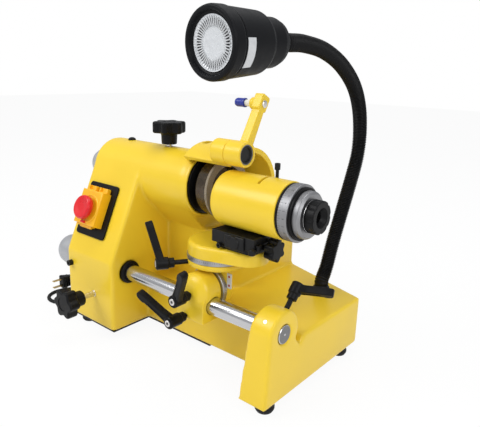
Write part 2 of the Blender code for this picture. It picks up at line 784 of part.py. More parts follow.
def make_drive():
    axis = Vector((0, MOTOR_Y, MOTOR_Z))
    end = 0.86 * MOTOR_R
    motor = turned(
        [
            (0, ROTOR_R + RUN_GAP), (0, end), (MOTOR_R / 4, MOTOR_R),
            (MOTOR_LENGTH - MOTOR_R / 4, MOTOR_R),
            (MOTOR_LENGTH, end), (MOTOR_LENGTH, 0.2 * MOTOR_R),
            (MOTOR_LENGTH - MOTOR_R / 4, ROTOR_R + RUN_GAP),
        ],
        axis + X_AXIS * MOTOR_LEFT, X_AXIS, INNER_ROUND,
    )
    stator = piece("motor", motor, DARK_PAINT)
    third = MOTOR_LENGTH / 3
    hanger = block(
        (MOTOR_LEFT + third, MOTOR_Y - MOTOR_R / 2, MOTOR_Z + MOTOR_R / 2),
        (MOTOR_RIGHT - third, MOTOR_Y + MOTOR_R / 2, CAVITY_TOP - SEAT_GAP),
    )
    join(stator, hanger)
    left = BELT_LEFT - BELT_ROOM / 2
    right = BELT_LEFT + BELT_WIDTH + BELT_ROOM / 2
    crown = MOTOR_PULLEY_R + PULLEY_RIM
    rotor = turned(
        [
            (left - PULLEY_RIM, 0), (left - PULLEY_RIM, crown), (left, crown), (left, MOTOR_PULLEY_R),
            (right, MOTOR_PULLEY_R), (right, crown),
            (right + PULLEY_RIM, crown), (right + PULLEY_RIM, ROTOR_R),
            (MOTOR_LEFT + MOTOR_LENGTH / 2, ROTOR_R), (MOTOR_LEFT + MOTOR_LENGTH / 2, 0),
        ],
        axis, X_AXIS, INNER_ROUND,
    )
    piece("motor_rotor", rotor, STEEL, axis)
    room = MOTOR_LENGTH / 2 + SWING_GAP
    cut(stator, rod(axis + X_AXIS * MOTOR_LEFT, X_AXIS, room, ROTOR_R + SWING_GAP, INNER_ROUND))
    ends = ((MOTOR_Y, MOTOR_Z), (SPINDLE_Y, SPINDLE_Z))
    grip = RUN_GAP
    outer = belt_outline(
        ends[0], MOTOR_PULLEY_R + grip + BELT_T, ends[1], SPINDLE_PULLEY_R + grip + BELT_T, ROUND // 2
    )
    inner = belt_outline(ends[0], MOTOR_PULLEY_R + grip, ends[1], SPINDLE_PULLEY_R + grip, ROUND // 2)
    belt = piece("drive_belt", prism(outer, "X", BELT_LEFT, BELT_LEFT + BELT_WIDTH), RUBBER)
    cut(belt, prism(inner, "X", BELT_LEFT - BELT_WIDTH, BELT_LEFT + 2 * BELT_WIDTH))


def make_guard():
    low, high = GUARD_BACK_ANGLE, GUARD_FRONT_ANGLE
    inner = GUARD_R - GUARD_T
    seat = GUARD_SEAT_R + SEAT_GAP
    sector = arc(SPINDLE_Y, SPINDLE_Z, GUARD_R, low, high, 18) + arc(
        SPINDLE_Y, SPINDLE_Z, seat, high, low, 18,
    )
    guard = piece("wheel_guard", prism(sector, "X", GUARD_LEFT, GUARD_RIGHT), ENAMEL)
    hub = Vector((GUARD_RIGHT - DRESSER_BOSS_LENGTH, DRESSER_Y, DRESSER_Z))
    pin_hole = DRESSER_PIN_R + RUN_GAP
    window = (SPINDLE_Y - WINDOW_WIDTH / 2, SPINDLE_Y + WINDOW_WIDTH / 2)
    cut(guard, rod((GUARD_LEFT + GUARD_WALL, SPINDLE_Y, SPINDLE_Z), X_AXIS, LENGTH, inner, LARGE_ROUND))
    join(guard, rod(hub, X_AXIS, DRESSER_BOSS_LENGTH + SEAT_GAP, DRESSER_HUB_R))
    cut(
        guard,
        rod(hub + X_AXIS * (DRESSER_BOSS_LENGTH / 4), X_AXIS, DRESSER_BOSS_LENGTH, pin_hole, SMALL_ROUND),
        block((GUARD_LEFT + GUARD_WALL, window[0], SPINDLE_Z + inner / 2),
              (GUARD_LEFT + GUARD_WALL + WINDOW_LENGTH, window[1], SPINDLE_Z + 2 * inner)),
    )


def make_dresser():
    hub = Vector((GUARD_RIGHT + SEAT_GAP + RUN_GAP, DRESSER_Y, DRESSER_Z))
    lean = math.radians(DRESSER_ARM_LEAN)
    up = Vector((0, math.sin(lean), math.cos(lean)))
    end = hub.x + DRESSER_HUB_LENGTH
    arm = piece("dresser_arm", rod(hub, X_AXIS, DRESSER_HUB_LENGTH, DRESSER_HUB_R), ENAMEL, hub)
    half = DRESSER_ARM_WIDTH / 2
    wide = DRESSER_TOP_HALF
    low = DRESSER_ARM_LENGTH - DRESSER_BLOCK_R
    high = DRESSER_ARM_LENGTH + DRESSER_TOP_REACH
    outline = [(-half, 0), (half, 0)]
    outline += rounded([
        (0.75 * half, low), (wide, low), (wide, high), (-wide, high), (-wide, low), (-0.75 * half, low),
    ],
                       0.35 * wide, 2)
    plate = prism(outline, "X", end - DRESSER_ARM_T - SWING_GAP, end - SWING_GAP)
    stand = Matrix.Translation((0, DRESSER_Y, DRESSER_Z)) @ Matrix.Rotation(-lean, 4, "X")
    tip = hub + up * DRESSER_ARM_LENGTH
    tip.x = end + SWING_GAP - DRESSER_BLOCK_LENGTH
    boss = turned(
        [
            (0, 0), (0, 0.8 * DRESSER_BLOCK_R), (0.2 * DRESSER_BLOCK_R, DRESSER_BLOCK_R),
            (DRESSER_BLOCK_LENGTH, DRESSER_BLOCK_R), (DRESSER_BLOCK_LENGTH, 0),
        ],
        tip, X_AXIS, SMALL_ROUND,
    )
    join(arm, turned_to(plate, stand), boss)
    bore = DRESSER_PIN_R + RUN_GAP
    seat = DRESSER_HUB_LENGTH - SWING_GAP - DRESSER_PIN_HEAD_T
    mouth = DRESSER_PIN_HEAD_R + RUN_GAP
    room = [
        (-seat, 0), (-seat, bore), (seat - RUN_GAP, bore),
        (seat - RUN_GAP, mouth), (3 * seat, mouth), (3 * seat, 0),
    ]
    cut(arm, turned(room, hub, X_AXIS, INNER_ROUND))
    pin_left = GUARD_RIGHT - DRESSER_BOSS_LENGTH * 0.75 + SEAT_GAP
    neck = hub.x + seat - pin_left
    stud = [
        (0, 0), (0, DRESSER_PIN_R), (neck, DRESSER_PIN_R), (neck, DRESSER_PIN_HEAD_R),
        (neck + DRESSER_PIN_HEAD_T, DRESSER_PIN_HEAD_R), (neck + DRESSER_PIN_HEAD_T, 0),
    ]
    pin = turned(stud, (pin_left, DRESSER_Y, DRESSER_Z), X_AXIS, INNER_ROUND)
    piece("dresser_pin", pin, BLACK_STEEL)
    ferrule_left = tip.x - SEAT_GAP - DRESSER_FERRULE_LENGTH
    ferrule = rod(
        (ferrule_left, tip.y, tip.z), X_AXIS, DRESSER_FERRULE_LENGTH, DRESSER_FERRULE_R, SMALL_ROUND,
    )
    piece("dresser_ferrule", ferrule, IVORY, hub)
    length = DRESSER_CAP_LENGTH
    cap = turned(
        [
            (0, 0), (0, DRESSER_CAP_R), (0.8 * length, DRESSER_CAP_R),
            (0.95 * length, 0.8 * DRESSER_CAP_R),
            (length, 0.4 * DRESSER_CAP_R), (length, 0),
        ],
        (ferrule_left - SEAT_GAP, tip.y, tip.z), -X_AXIS, SMALL_ROUND,
    )
    piece("dresser_cap", cap, BLUE, hub)


def make_bracket():
    axis = Vector((TILT_X, 0, TILT_Z))
    left = TILT_X - BRACKET_WIDTH / 2
    clamp_r = BAR_R + BRACKET_WALL
    dome = HUB_R / 4
    hub = turned(
        [
            (HUB_FRONT, 0), (HUB_FRONT, HUB_R - 2 * dome), (HUB_FRONT + dome / 3, HUB_R - dome),
            (HUB_FRONT + dome, HUB_R - dome / 4),
            (HUB_FRONT + 1.6 * dome, HUB_R), (HUB_BACK, HUB_R), (HUB_BACK, 0),
        ],
        axis, Y_AXIS,
    )
    bracket = piece("carriage_bracket", hub, ENAMEL, (TILT_X, BAR_Y, BAR_Z))
    clamp = prism(
        rounded(
            [
                (BAR_Y - clamp_r, BRACKET_BOTTOM), (BAR_Y + 0.7 * clamp_r, BRACKET_BOTTOM),
                (BAR_Y + 0.7 * clamp_r, TILT_Z), (BAR_Y - clamp_r, TILT_Z),
            ],
            BRACKET_WALL / 2, 3,
        ),
        "X", left, left + BRACKET_WIDTH,
    )
    join(bracket, clamp)
    cut(
        bracket,
        rod((left - BRACKET_WIDTH, BAR_Y, BAR_Z), X_AXIS, 3 * BRACKET_WIDTH, BAR_R + RUN_GAP),
        rod(
            (TILT_X, HUB_FRONT - STUD_DEPTH, TILT_Z), Y_AXIS,
            2 * STUD_DEPTH + RUN_GAP, LEVER_STUD_R + RUN_GAP, SMALL_ROUND,
        ),
        rod((CARRIAGE_LEVER_X, BAR_Y - clamp_r - STUD_DEPTH, CARRIAGE_LEVER_Z), Y_AXIS,
            2 * STUD_DEPTH + RUN_GAP, LEVER_STUD_R + RUN_GAP, SMALL_ROUND),
        rod((TILT_X, HUB_BACK - TILT_PIN_SEAT, TILT_Z), Y_AXIS, 2 * TILT_PIN_SEAT, TILT_PIN_R + SEAT_GAP),
    )
    scale_back = SEAT_GAP + TILT_RING_T
    pin_back = YOKE_FRONT - HUB_BACK + YOKE_T / 2
    scale = turned(
        [
            (SEAT_GAP - TILT_PIN_SEAT, 0), (SEAT_GAP - TILT_PIN_SEAT, TILT_PIN_R), (SEAT_GAP, TILT_PIN_R),
            (SEAT_GAP, TILT_RING_R - SWING_GAP),
            (SEAT_GAP + SWING_GAP, TILT_RING_R), (scale_back, TILT_RING_R),
            (scale_back, TILT_PIN_R), (pin_back, TILT_PIN_R), (pin_back, 0),
        ],
        axis + Y_AXIS * HUB_BACK, Y_AXIS,
    )
    piece("tilt_scale_ring", scale, ALUMINIUM)


def make_yoke():
    axis = Vector((TILT_X, 0, TILT_Z))
    back = YOKE_FRONT + YOKE_T
    sides = [
        (TILT_X - YOKE_R, TILT_Z), *arc(TILT_X, TILT_Z, YOKE_R, 180, 360, 14), (TILT_X + YOKE_R, TILT_Z),
    ]
    plate = prism(sides[1:-1] + [
        (TILT_X + YOKE_R, SHELF_Z + SHELF_T / 2), (TILT_X - YOKE_R, SHELF_Z + SHELF_T / 2),
    ],
                  "Y", YOKE_FRONT, back)
    yoke = piece("tilt_yoke", plate, ENAMEL, axis + Y_AXIS * YOKE_FRONT)
    shelf = turned(
        [
            (0, 0), (0, SWIVEL_R - 3 * SWING_GAP),
            (2 * SWING_GAP, SWIVEL_R), (SHELF_T, SWIVEL_R), (SHELF_T, 0),
        ],
        (TILT_X, SWIVEL_Y, SHELF_Z), Z_AXIS,
    )
    rib_top = SHELF_Z + SHELF_T / 2
    rib = prism(
        [
            (YOKE_FRONT + YOKE_T / 2, rib_top), (SWIVEL_Y + 0.8 * SWIVEL_R, rib_top),
            (back, TILT_Z), (YOKE_FRONT + YOKE_T / 2, TILT_Z),
        ],
        "X", TILT_X - YOKE_R / 2, TILT_X + YOKE_R / 2,
    )
    seat, inward = swivel_lever_seat()
    boss = rod(seat, inward, SWIVEL_R / 3, SHELF_T / 2 - SWING_GAP / 2, SMALL_ROUND)
    stub = rod((TILT_X, SWIVEL_Y, SHELF_Z + SHELF_T / 2), Z_AXIS,
               SHELF_T / 2 + SWIVEL_RING_T + SWIVEL_PLATE_T / 2, SWIVEL_PIN_R, SMALL_ROUND)
    join(yoke, shelf, rib, boss, stub)
    cut(
        yoke,
        rod(
            axis + Y_AXIS * HUB_BACK, Y_AXIS, YOKE_FRONT - HUB_BACK + YOKE_T / 2 + RUN_GAP, TILT_PIN_R + RUN_GAP, SMALL_ROUND,
        ),
        rod(
            seat - inward * STUD_DEPTH, inward, 2 * STUD_DEPTH + RUN_GAP, LEVER_STUD_R + RUN_GAP, SMALL_ROUND,
        ),
    )


def swivel_lever_seat():
    """Where the swivel lever's stud enters the shelf, and its way in."""
    inward = Vector((0.55, 0.835, 0)).normalized()
    middle = Vector((TILT_X, SWIVEL_Y, SHELF_Z + SHELF_T / 2))
    return middle - inward * (SWIVEL_R + 5 * SWING_GAP), inward


def make_swivel():
    centre = Vector((TILT_X, SWIVEL_Y, 0))
    scale = turned(
        [
            (0, SWIVEL_PIN_R + RUN_GAP), (0, SWIVEL_R),
            (SWIVEL_RING_T, SWIVEL_R), (SWIVEL_RING_T, SWIVEL_PIN_R + RUN_GAP),
        ],
        centre + Z_AXIS * SWIVEL_RING_Z, Z_AXIS,
    )
    piece("swivel_scale_ring", scale, ALUMINIUM)
    outline = belt_outline(
        (TILT_X, SWIVEL_Y), SWIVEL_R - SWING_GAP, (TILT_X + PLATE_TAIL_X, SWIVEL_Y), PLATE_TAIL_R, 16,
    )
    top = SWIVEL_PLATE_Z + SWIVEL_PLATE_T
    solid = prism(outline, "Z", SWIVEL_PLATE_Z, top)
    soften(solid, lambda a, b: min(a.z, b.z) > top - SEAT_GAP, PLATE_ROUND, 3)
    plate = piece("swivel_plate", solid, ENAMEL, centre + Z_AXIS * SWIVEL_PLATE_Z)
    depth = SWIVEL_PLATE_T / 2 + SWING_GAP
    cut(
        plate, rod(
            centre + Z_AXIS * (SWIVEL_PLATE_Z - depth), Z_AXIS, 2 * depth, SWIVEL_PIN_R + RUN_GAP, SMALL_ROUND,
        ),
    )


def make_slide():
    right = SLIDE_LEFT + SLIDE_LENGTH
    y = SWIVEL_Y
    base_top = SLIDE_BASE_Z + SLIDE_BASE_T
    tail = DOVETAIL_NECK + DOVETAIL_FLARE
    base = [
        (y - SLIDE_BASE_HALF, SLIDE_BASE_Z),
        (y + SLIDE_BASE_HALF, SLIDE_BASE_Z), (y + SLIDE_BASE_HALF, base_top),
        (y + DOVETAIL_NECK, base_top), (y + tail, base_top + DOVETAIL_T),
        (y - tail, base_top + DOVETAIL_T),
        (y - DOVETAIL_NECK, base_top), (y - SLIDE_BASE_HALF, base_top),
    ]
    step = 6 * SWING_GAP
    solid = prism(base, "X", SLIDE_LEFT + step, right - step)
    carrier = piece("slide_base", solid, BLACK_STEEL)
    top = SLIDE_Z + SLIDE_T
    wide = RUN_GAP * 2
    roof = base_top + DOVETAIL_T + RUN_GAP
    slide = [
        (y - SLIDE_HALF, SLIDE_Z), (y - DOVETAIL_NECK - wide, SLIDE_Z),
        (y - tail - wide, roof), (y + tail + wide, roof),
        (y + DOVETAIL_NECK + wide, SLIDE_Z), (y + SLIDE_HALF, SLIDE_Z),
        (y + SLIDE_HALF, top), (y - SLIDE_HALF, top),
    ]
    piece("cross_slide", prism(slide, "X", SLIDE_LEFT, right), BLACK_STEEL, (SLIDE_LEFT, y, SLIDE_Z))
    screw_z = top - SLIDE_KNOB_DROP
    drive = Vector((right + SWING_GAP, y, screw_z))
    shaft = SWING_GAP + 3 * step + SLIDE_TRAVEL_OUT
    knob = star_knob(
        "slide_feed_knob", drive, X_AXIS, SLIDE_KNOB_R, SLIDE_KNOB_LENGTH,
        0.5 * SLIDE_KNOB_R, 0, SWING_GAP, LEVER_STUD_R, BLACK_PLASTIC, shaft,
    )
    way = shaft + SLIDE_TRAVEL_IN + SWING_GAP
    cut(carrier, rod(drive - X_AXIS * way, X_AXIS, 2 * way, LEVER_STUD_R + RUN_GAP, SMALL_ROUND))
    return knob


def make_head():
    axis = Vector((0, SWIVEL_Y, HEAD_Z))
    profile = [
        (0, HEAD_BORE_R), (0, HEAD_R - HEAD_ROUND),
        (0.3 * HEAD_ROUND, HEAD_R - 0.3 * HEAD_ROUND), (HEAD_ROUND, HEAD_R),
        (HEAD_LENGTH, HEAD_R), (HEAD_LENGTH, HEAD_BORE_R),
    ]
    head = piece("head_body", turned(profile, axis + X_AXIS * HEAD_LEFT, X_AXIS, LARGE_ROUND), ENAMEL)
    slit = HEAD_RIGHT - HEAD_SLIT_FROM_END
    screw = Vector((slit + HEAD_SLIT + 2 * CLAMP_SCREW_R, SWIVEL_Y + HEAD_R / 3, 0))
    seat = HEAD_Z + HEAD_R * 0.8
    cut(
        head,
        block(
            (HEAD_LEFT - HEAD_R, SWIVEL_Y - HEAD_R, HEAD_Z - 2 * HEAD_R),
            (HEAD_RIGHT + HEAD_R, SWIVEL_Y + HEAD_R, HEAD_FLAT_Z),
        ),
        block(
            (slit, SWIVEL_Y - HEAD_R, HEAD_Z + 0.62 * HEAD_R),
            (slit + HEAD_SLIT, SWIVEL_Y + HEAD_R, HEAD_Z + 2 * HEAD_R),
        ),
        rod((screw.x, screw.y, seat), Z_AXIS, HEAD_R, CLAMP_SCREW_R + SWING_GAP, SMALL_ROUND),
    )
    bolt = turned(
        [
            (0, 0), (0, 0.6 * CLAMP_SCREW_R), (0.65 * CLAMP_SCREW_LENGTH, 0.6 * CLAMP_SCREW_R),
            (0.65 * CLAMP_SCREW_LENGTH, CLAMP_SCREW_R),
            (CLAMP_SCREW_LENGTH, CLAMP_SCREW_R), (CLAMP_SCREW_LENGTH, 0),
        ],
        (screw.x, screw.y, seat + SEAT_GAP), Z_AXIS, 12,
    )
    piece("head_clamp_screw", bolt, BLACK_STEEL)
    gasket_x = HEAD_RIGHT + SEAT_GAP
    piece(
        "head_gasket", ring(axis + X_AXIS * gasket_x, X_AXIS, GASKET_T, GASKET_R, HEAD_BORE_R), BLACK_PLASTIC,
    )
    make_index(axis, gasket_x + GASKET_T + RUN_GAP)


def make_index(axis, left):
    """The turning pieces at the head's end and the collet spindle inside it."""
    edge = SWING_GAP
    index = turned(
        [
            (0, COLLET_R + SEAT_GAP), (0, INDEX_R - edge), (edge, INDEX_R), (INDEX_T - edge, INDEX_R),
            (INDEX_T, INDEX_R - edge), (INDEX_T, NECK_R), (INDEX_T + NECK_T, NECK_R),
            (INDEX_T + NECK_T, COLLET_R + SEAT_GAP),
        ],
        axis + X_AXIS * left, X_AXIS,
    )
    piece("index_ring", index, ALUMINIUM, axis)
    draw_x = left + INDEX_T + NECK_T + SEAT_GAP
    draw = turned(
        [
            (0, COLLET_R + SEAT_GAP), (0, DRAW_RING_R), (DRAW_RING_T - 2 * edge, DRAW_RING_R),
            (DRAW_RING_T, DRAW_RING_R - 3 * edge), (DRAW_RING_T, COLLET_R + SEAT_GAP),
        ],
        axis + X_AXIS * draw_x, X_AXIS,
    )
    piece("draw_ring", draw, ALUMINIUM, axis)
    end = draw_x + DRAW_RING_T
    tube = turned(
        [
            (HEAD_LEFT - 2 * edge, COLLET_BORE_R),
            (HEAD_LEFT - 2 * edge, COLLET_R - 3 * edge), (HEAD_LEFT + edge, COLLET_R),
            (end, COLLET_R), (end, COLLET_BORE_R),
        ],
        axis, X_AXIS,
    )
    piece("collet_spindle", tube, STEEL, axis)
    knob = turned(
        [
            (0, COLLET_BORE_R), (0, DRAW_KNOB_R),
            (0.8 * DRAW_KNOB_T, DRAW_KNOB_R), (DRAW_KNOB_T, 0.9 * DRAW_KNOB_R),
            (DRAW_KNOB_T, 0.62 * DRAW_KNOB_R), (0.5 * DRAW_KNOB_T, COLLET_BORE_R),
        ],
        axis + X_AXIS * (end + RUN_GAP), X_AXIS, 2 * DRAW_KNOB_FLATS,
    )
    piece("draw_knob", knob, BLACK_PLASTIC, axis)


def lever(name, seat, inward, aim, arm):
    """A clamp lever: stud, hub and a leaning arm with a round end, seated on a face."""
    inward = Vector(inward).normalized()
    out = -inward
    side = Vector(aim)
    side = (side - out * side.dot(out)).normalized()
    seat = Vector(seat)
    hub = turned(
        [
            (-STUD_DEPTH, 0), (-STUD_DEPTH, LEVER_STUD_R),
            (LEVER_STUD, LEVER_STUD_R), (LEVER_STUD, 0.8 * LEVER_HUB_R),
            (LEVER_STUD + 0.3 * LEVER_HUB_LENGTH, LEVER_HUB_R),
            (LEVER_STUD + LEVER_HUB_LENGTH - SWING_GAP, LEVER_HUB_R),
            (LEVER_STUD + LEVER_HUB_LENGTH, 0.7 * LEVER_HUB_R), (LEVER_STUD + LEVER_HUB_LENGTH, 0),
        ],
        seat, out, 16,
    )
    made = piece(name, hub, BLACK_PLASTIC, seat)
    lean = math.radians(LEVER_LEAN)
    along = (side * math.cos(lean) + out * math.sin(lean)).normalized()
    across = out.cross(side)
    thick = across.cross(along)
    root = seat + out * (LEVER_STUD + LEVER_HUB_LENGTH - LEVER_HUB_R)
    wide = 0.62 * LEVER_HUB_R
    swell = 0.78 * LEVER_HUB_R
    half = [(0.0, 0.9 * LEVER_HUB_R), (0.35 * arm, wide), (0.72 * arm, wide), (0.86 * arm, swell)]
    tip = arc(arm - swell, 0, swell, 60, -60, 5)
    outline = half + tip + [(u, -v) for u, v in reversed(half)]
    blade = prism(outline, "Z", -wide, wide)
    frame = Matrix((along, across, thick)).transposed().to_4x4()
    join(made, turned_to(blade, Matrix.Translation(root) @ frame))
    return made


def bar_lever_axis():
    """Way in of the lever that clamps the bar in the pillar."""
    return Vector(BAR_LEVER_WAY).normalized()


def bar_lever_seat():
    return Vector((BAR_LEVER_X, BAR_Y, BAR_Z)) - bar_lever_axis() * PILLAR_R


def make_levers():
    hub_face = (TILT_X, HUB_FRONT, TILT_Z)
    clamp_face = (CARRIAGE_LEVER_X, BAR_Y - BAR_R - BRACKET_WALL, CARRIAGE_LEVER_Z)
    seat, inward = swivel_lever_seat()
    lever("tilt_lever", hub_face, Y_AXIS, TILT_LEVER_AIM, LEVER_ARM)
    lever("carriage_lever", clamp_face, Y_AXIS, CARRIAGE_LEVER_AIM, LEVER_ARM)
    lever("swivel_lever", seat, inward, SWIVEL_LEVER_AIM, LEVER_ARM)
    lever("bar_lock_lever", bar_lever_seat(), bar_lever_axis(), BAR_LEVER_AIM, SHORT_LEVER_ARM)


def star_knob(name, seat, out, radius, thick, hub_r, foot, stem, stud_r, finish, depth):
    """A lobed knob on a hub and a stud that goes into a face."""
    out = Vector(out).normalized()
    turns = 4 * STAR_LOBES
    lobes = []
    for i in range(turns):
        angle = math.tau * i / turns
        reach = radius * (0.9 + 0.1 * math.cos(STAR_LOBES * angle))
        lobes.append((reach * math.cos(angle), reach * math.sin(angle)))
    head = prism(lobes, "Z", stem, stem + thick)
    soften(head, lambda a, b: min(a.z, b.z) > stem + thick - SEAT_GAP, thick / 6, 2)
    stand = Matrix.Translation(seat) @ Z_AXIS.rotation_difference(out).to_matrix().to_4x4()
    made = piece(name, turned_to(head, stand), finish, seat)
    hub = turned(
        [
            (-depth, 0), (-depth, stud_r), (foot, stud_r), (foot, 0.92 * hub_r),
            (stem + thick / 2, hub_r), (stem + thick / 2, 0),
        ],
        seat, out, SMALL_ROUND,
    )
    join(made, hub)
    return made


def make_lock_knobs():
    top = (QUILL_LOCK_X, SPINDLE_Y, SPINDLE_Z + BARREL_R)
    stem = QUILL_LOCK_STUD + STAR_HUB_T
    star_knob("quill_lock_knob", top, Z_AXIS, STAR_R, STAR_T, STAR_HUB_R, QUILL_LOCK_STUD, stem, STAR_STUD_R,
              BLACK_PLASTIC, STUD_DEPTH)
    front = (BAR_LOCK_X, 0, BAR_LOCK_Z)
    stem = BAR_LOCK_STUD + STAR_HUB_T
    star_knob("bar_lock_knob", front, -Y_AXIS, STAR_R, STAR_T, STAR_HUB_R, BAR_LOCK_STUD, stem, STAR_STUD_R,
              BLACK_PLASTIC, STUD_DEPTH)


def switch_frame():
    """Frame on the leaning face: X across, Y up the slope, Z out of it."""
    up = Vector((0, math.sin(LEAN), math.cos(LEAN)))
    out = X_AXIS.cross(up)
    frame = Matrix((X_AXIS, up, out)).transposed().to_4x4()
    return Matrix.Translation((0, 0, BEND_Z)) @ frame


def make_switch():
    frame = switch_frame()
    plate_top = SEAT_GAP + SWITCH_PLATE_T
    box_low = SWITCH_BOX_UP - SWITCH_BOX_HEIGHT / 2
    box_high = SWITCH_BOX_UP + SWITCH_BOX_HEIGHT / 2
    box_left = SWITCH_BOX_X - SWITCH_BOX_WIDTH / 2
    box_right = SWITCH_BOX_X + SWITCH_BOX_WIDTH / 2
    low = (SWITCH_X - SWITCH_WIDTH / 2, SWITCH_UP - SWITCH_HEIGHT / 2)
    high = (SWITCH_X + SWITCH_WIDTH / 2, SWITCH_UP + SWITCH_HEIGHT / 2)
    outline = rounded([low, (high[0], low[1]), high, (low[0], high[1])], 2 * SWITCH_PLATE_T, 3)
    base = piece("switch_base", turned_to(prism(outline, "Z", SEAT_GAP, plate_top), frame), BLACK_PLASTIC)
    inset = LID_WALL + SWING_GAP
    deck = plate_top + SWITCH_DEPTH
    core = block(
        (box_left + inset, box_low + inset, SWITCH_PLATE_T / 2),
        (box_right - inset, box_high - inset, deck),
    )
    join(base, turned_to(core, frame))
    lid_low = plate_top + SWING_GAP
    lid_top = deck + LID_DEPTH
    shell = block((box_left, box_low, lid_low), (box_right, box_high, lid_top))
    soften(shell, lambda a, b: min(a.z, b.z) > lid_top - SEAT_GAP, LID_WALL, 2)
    hinge = frame @ Vector((SWITCH_BOX_X, box_high, lid_low))
    lid = piece("switch_lid", turned_to(shell, frame), LID_YELLOW, hinge)
    room = block(
        (box_left + LID_WALL, box_low + LID_WALL, 0),
        (box_right - LID_WALL, box_high - LID_WALL, lid_top - LID_WALL),
    )
    middle = (SWITCH_BOX_X, SWITCH_BOX_UP - BUTTON_SPACING / 3)
    hole = rod((*middle, deck), Z_AXIS, LID_DEPTH * 2, STOP_STEM_R + RUN_GAP, SMALL_ROUND)
    cut(lid, turned_to(room, frame), turned_to(hole, frame))
    for name, side, finish in (("start_button", 1, GREEN), ("stop_button", -1, RED)):
        spot = (SWITCH_BOX_X, SWITCH_BOX_UP + side * BUTTON_SPACING / 2)
        sink = BUTTON_T / 2
        shape = rod((*spot, deck - sink), Z_AXIS, BUTTON_T, BUTTON_R, SMALL_ROUND)
        piece(name, turned_to(shape, frame), finish, frame @ Vector((*spot, deck)))
        well = rod(
            (*spot, deck - sink - STOP_TRAVEL), Z_AXIS, 2 * BUTTON_T, BUTTON_R + RUN_GAP, SMALL_ROUND,
        )
        cut(base, turned_to(well, frame))
    make_stop(frame, middle, lid_top)


def make_stop(frame, middle, lid_top):
    """The large stop button on the lid."""
    rise = STOP_TRAVEL + SWING_GAP
    stop = turned(
        [
            (-LID_WALL - SWING_GAP, 0), (-LID_WALL - SWING_GAP, STOP_STEM_R),
            (rise, STOP_STEM_R), (rise, STOP_R),
            (rise + 0.45 * STOP_T, STOP_R), (rise + 0.75 * STOP_T, 0.88 * STOP_R),
            (rise + 0.95 * STOP_T, 0.5 * STOP_R),
            (rise + STOP_T, 0),
        ],
        (*middle, lid_top), Z_AXIS,
    )
    piece("emergency_button", turned_to(stop, frame), RED, frame @ Vector((*middle, lid_top)))


def smooth_route(points, step):
    """Points at even steps along a smooth curve through the given ones."""
    knots = [Vector(p) for p in points]
    knots = [2 * knots[0] - knots[1], *knots, 2 * knots[-1] - knots[-2]]
    fine = []
    for a, b, c, d in zip(knots, knots[1:], knots[2:], knots[3:]):
        for k in range(24):
            t = k / 24
            square = 2 * a - 5 * b + 4 * c - d
            cube = 3 * b - a - 3 * c + d
            fine.append(0.5 * (2 * b + (c - a) * t + square * t * t + cube * t**3))
    fine.append(knots[-2])
    lengths = [0.0]
    for p, q in zip(fine, fine[1:]):
        lengths.append(lengths[-1] + (q - p).length)
    count = max(2, round(lengths[-1] / step))
    route = []
    at = 0
    for i in range(count + 1):
        want = lengths[-1] * i / count
        while at < len(fine) - 2 and lengths[at + 1] < want:
            at += 1
        span = max(lengths[at + 1] - lengths[at], 1e-9)
        route.append(fine[at].lerp(fine[at + 1], min(1, (want - lengths[at]) / span)))
    return route


def tube_object(name, points, radii, resolution, finish):
    """A round tube along points, with a radius at each and closed ends."""
    curve = bpy.data.curves.new(name, "CURVE")
    curve.dimensions = "3D"
    curve.bevel_depth = 1.0
    curve.bevel_resolution = resolution
    curve.use_fill_caps = True
    spline = curve.splines.new("POLY")
    spline.points.add(len(points) - 1)
    for point, place, radius in zip(spline.points, points, radii):
        point.co = (*place, 1)
        point.radius = radius
    spline.use_smooth = True
    curve.materials.append(finish)
    made = bpy.data.objects.new(name, curve)
    made.parent = ROOT
    bpy.context.scene.collection.objects.link(made)
    return made


def tube_mesh(name, points, radii, resolution, finish):
    """The same tube as a mesh part."""
    made = tube_object(name, points, radii, resolution, finish)
    bpy.context.view_layer.update()
    mesh = bpy.data.meshes.new_from_object(made.evaluated_get(bpy.context.evaluated_depsgraph_get()))
    bpy.data.objects.remove(made, do_unlink=True)
    bm = bmesh.new()
    bm.from_mesh(mesh)
    bpy.data.meshes.remove(mesh)
    return outward(bm)


def make_lamp():
    socket_z = SLAB_TOP + SEAT_GAP
    base = Vector((LAMP_BASE_X, LAMP_BASE_Y, socket_z))
    socket = turned(
        [
            (0, NECK_BORE_R), (0, SOCKET_R), (0.6 * SOCKET_T, SOCKET_R), (SOCKET_T, 0.8 * SOCKET_R),
            (SOCKET_T, NECK_BORE_R),
        ],
        base, Z_AXIS, SMALL_ROUND,
    )
    piece("lamp_socket", socket, BLACK_PLASTIC)
    front = Vector(LAMP_FRONT)
    rear = Vector(LAMP_REAR)
    axis = (front - rear).normalized()
    foot = base + Z_AXIS * (SOCKET_T + 2 * SEAT_GAP)
    start = [foot, foot + Z_AXIS * NECK_TUBE_R / 2, foot + Z_AXIS * NECK_TUBE_R]
    end = [rear - axis * NECK_TUBE_R * 2, rear - axis * NECK_TUBE_R, rear - axis * 2 * SEAT_GAP]
    make_gooseneck([*start, *NECK_ROUTE, *end])
    make_lamp_head(rear, axis, (front - rear).length)


def make_gooseneck(route):
    """A ribbed arm with a bore: two points of unlike radius for each rib."""
    length = sum((Vector(b) - Vector(a)).length for a, b in zip(route, route[1:]))
    points = smooth_route(route, length / (2 * NECK_RIBS))
    radii = [NECK_TUBE_R - (NECK_RIB_DEPTH if i % 2 else 0) for i in range(len(points))]
    arm = piece("lamp_gooseneck", tube_mesh("arm", points, radii, 2, BLACK_PLASTIC), BLACK_PLASTIC)
    bore = [points[0] * 2 - points[1], *points[4:-4:9], points[-1] * 2 - points[-2]]
    cut(arm, tube_mesh("bore", bore, [NECK_BORE_R] * len(bore), 2, BLACK_PLASTIC))


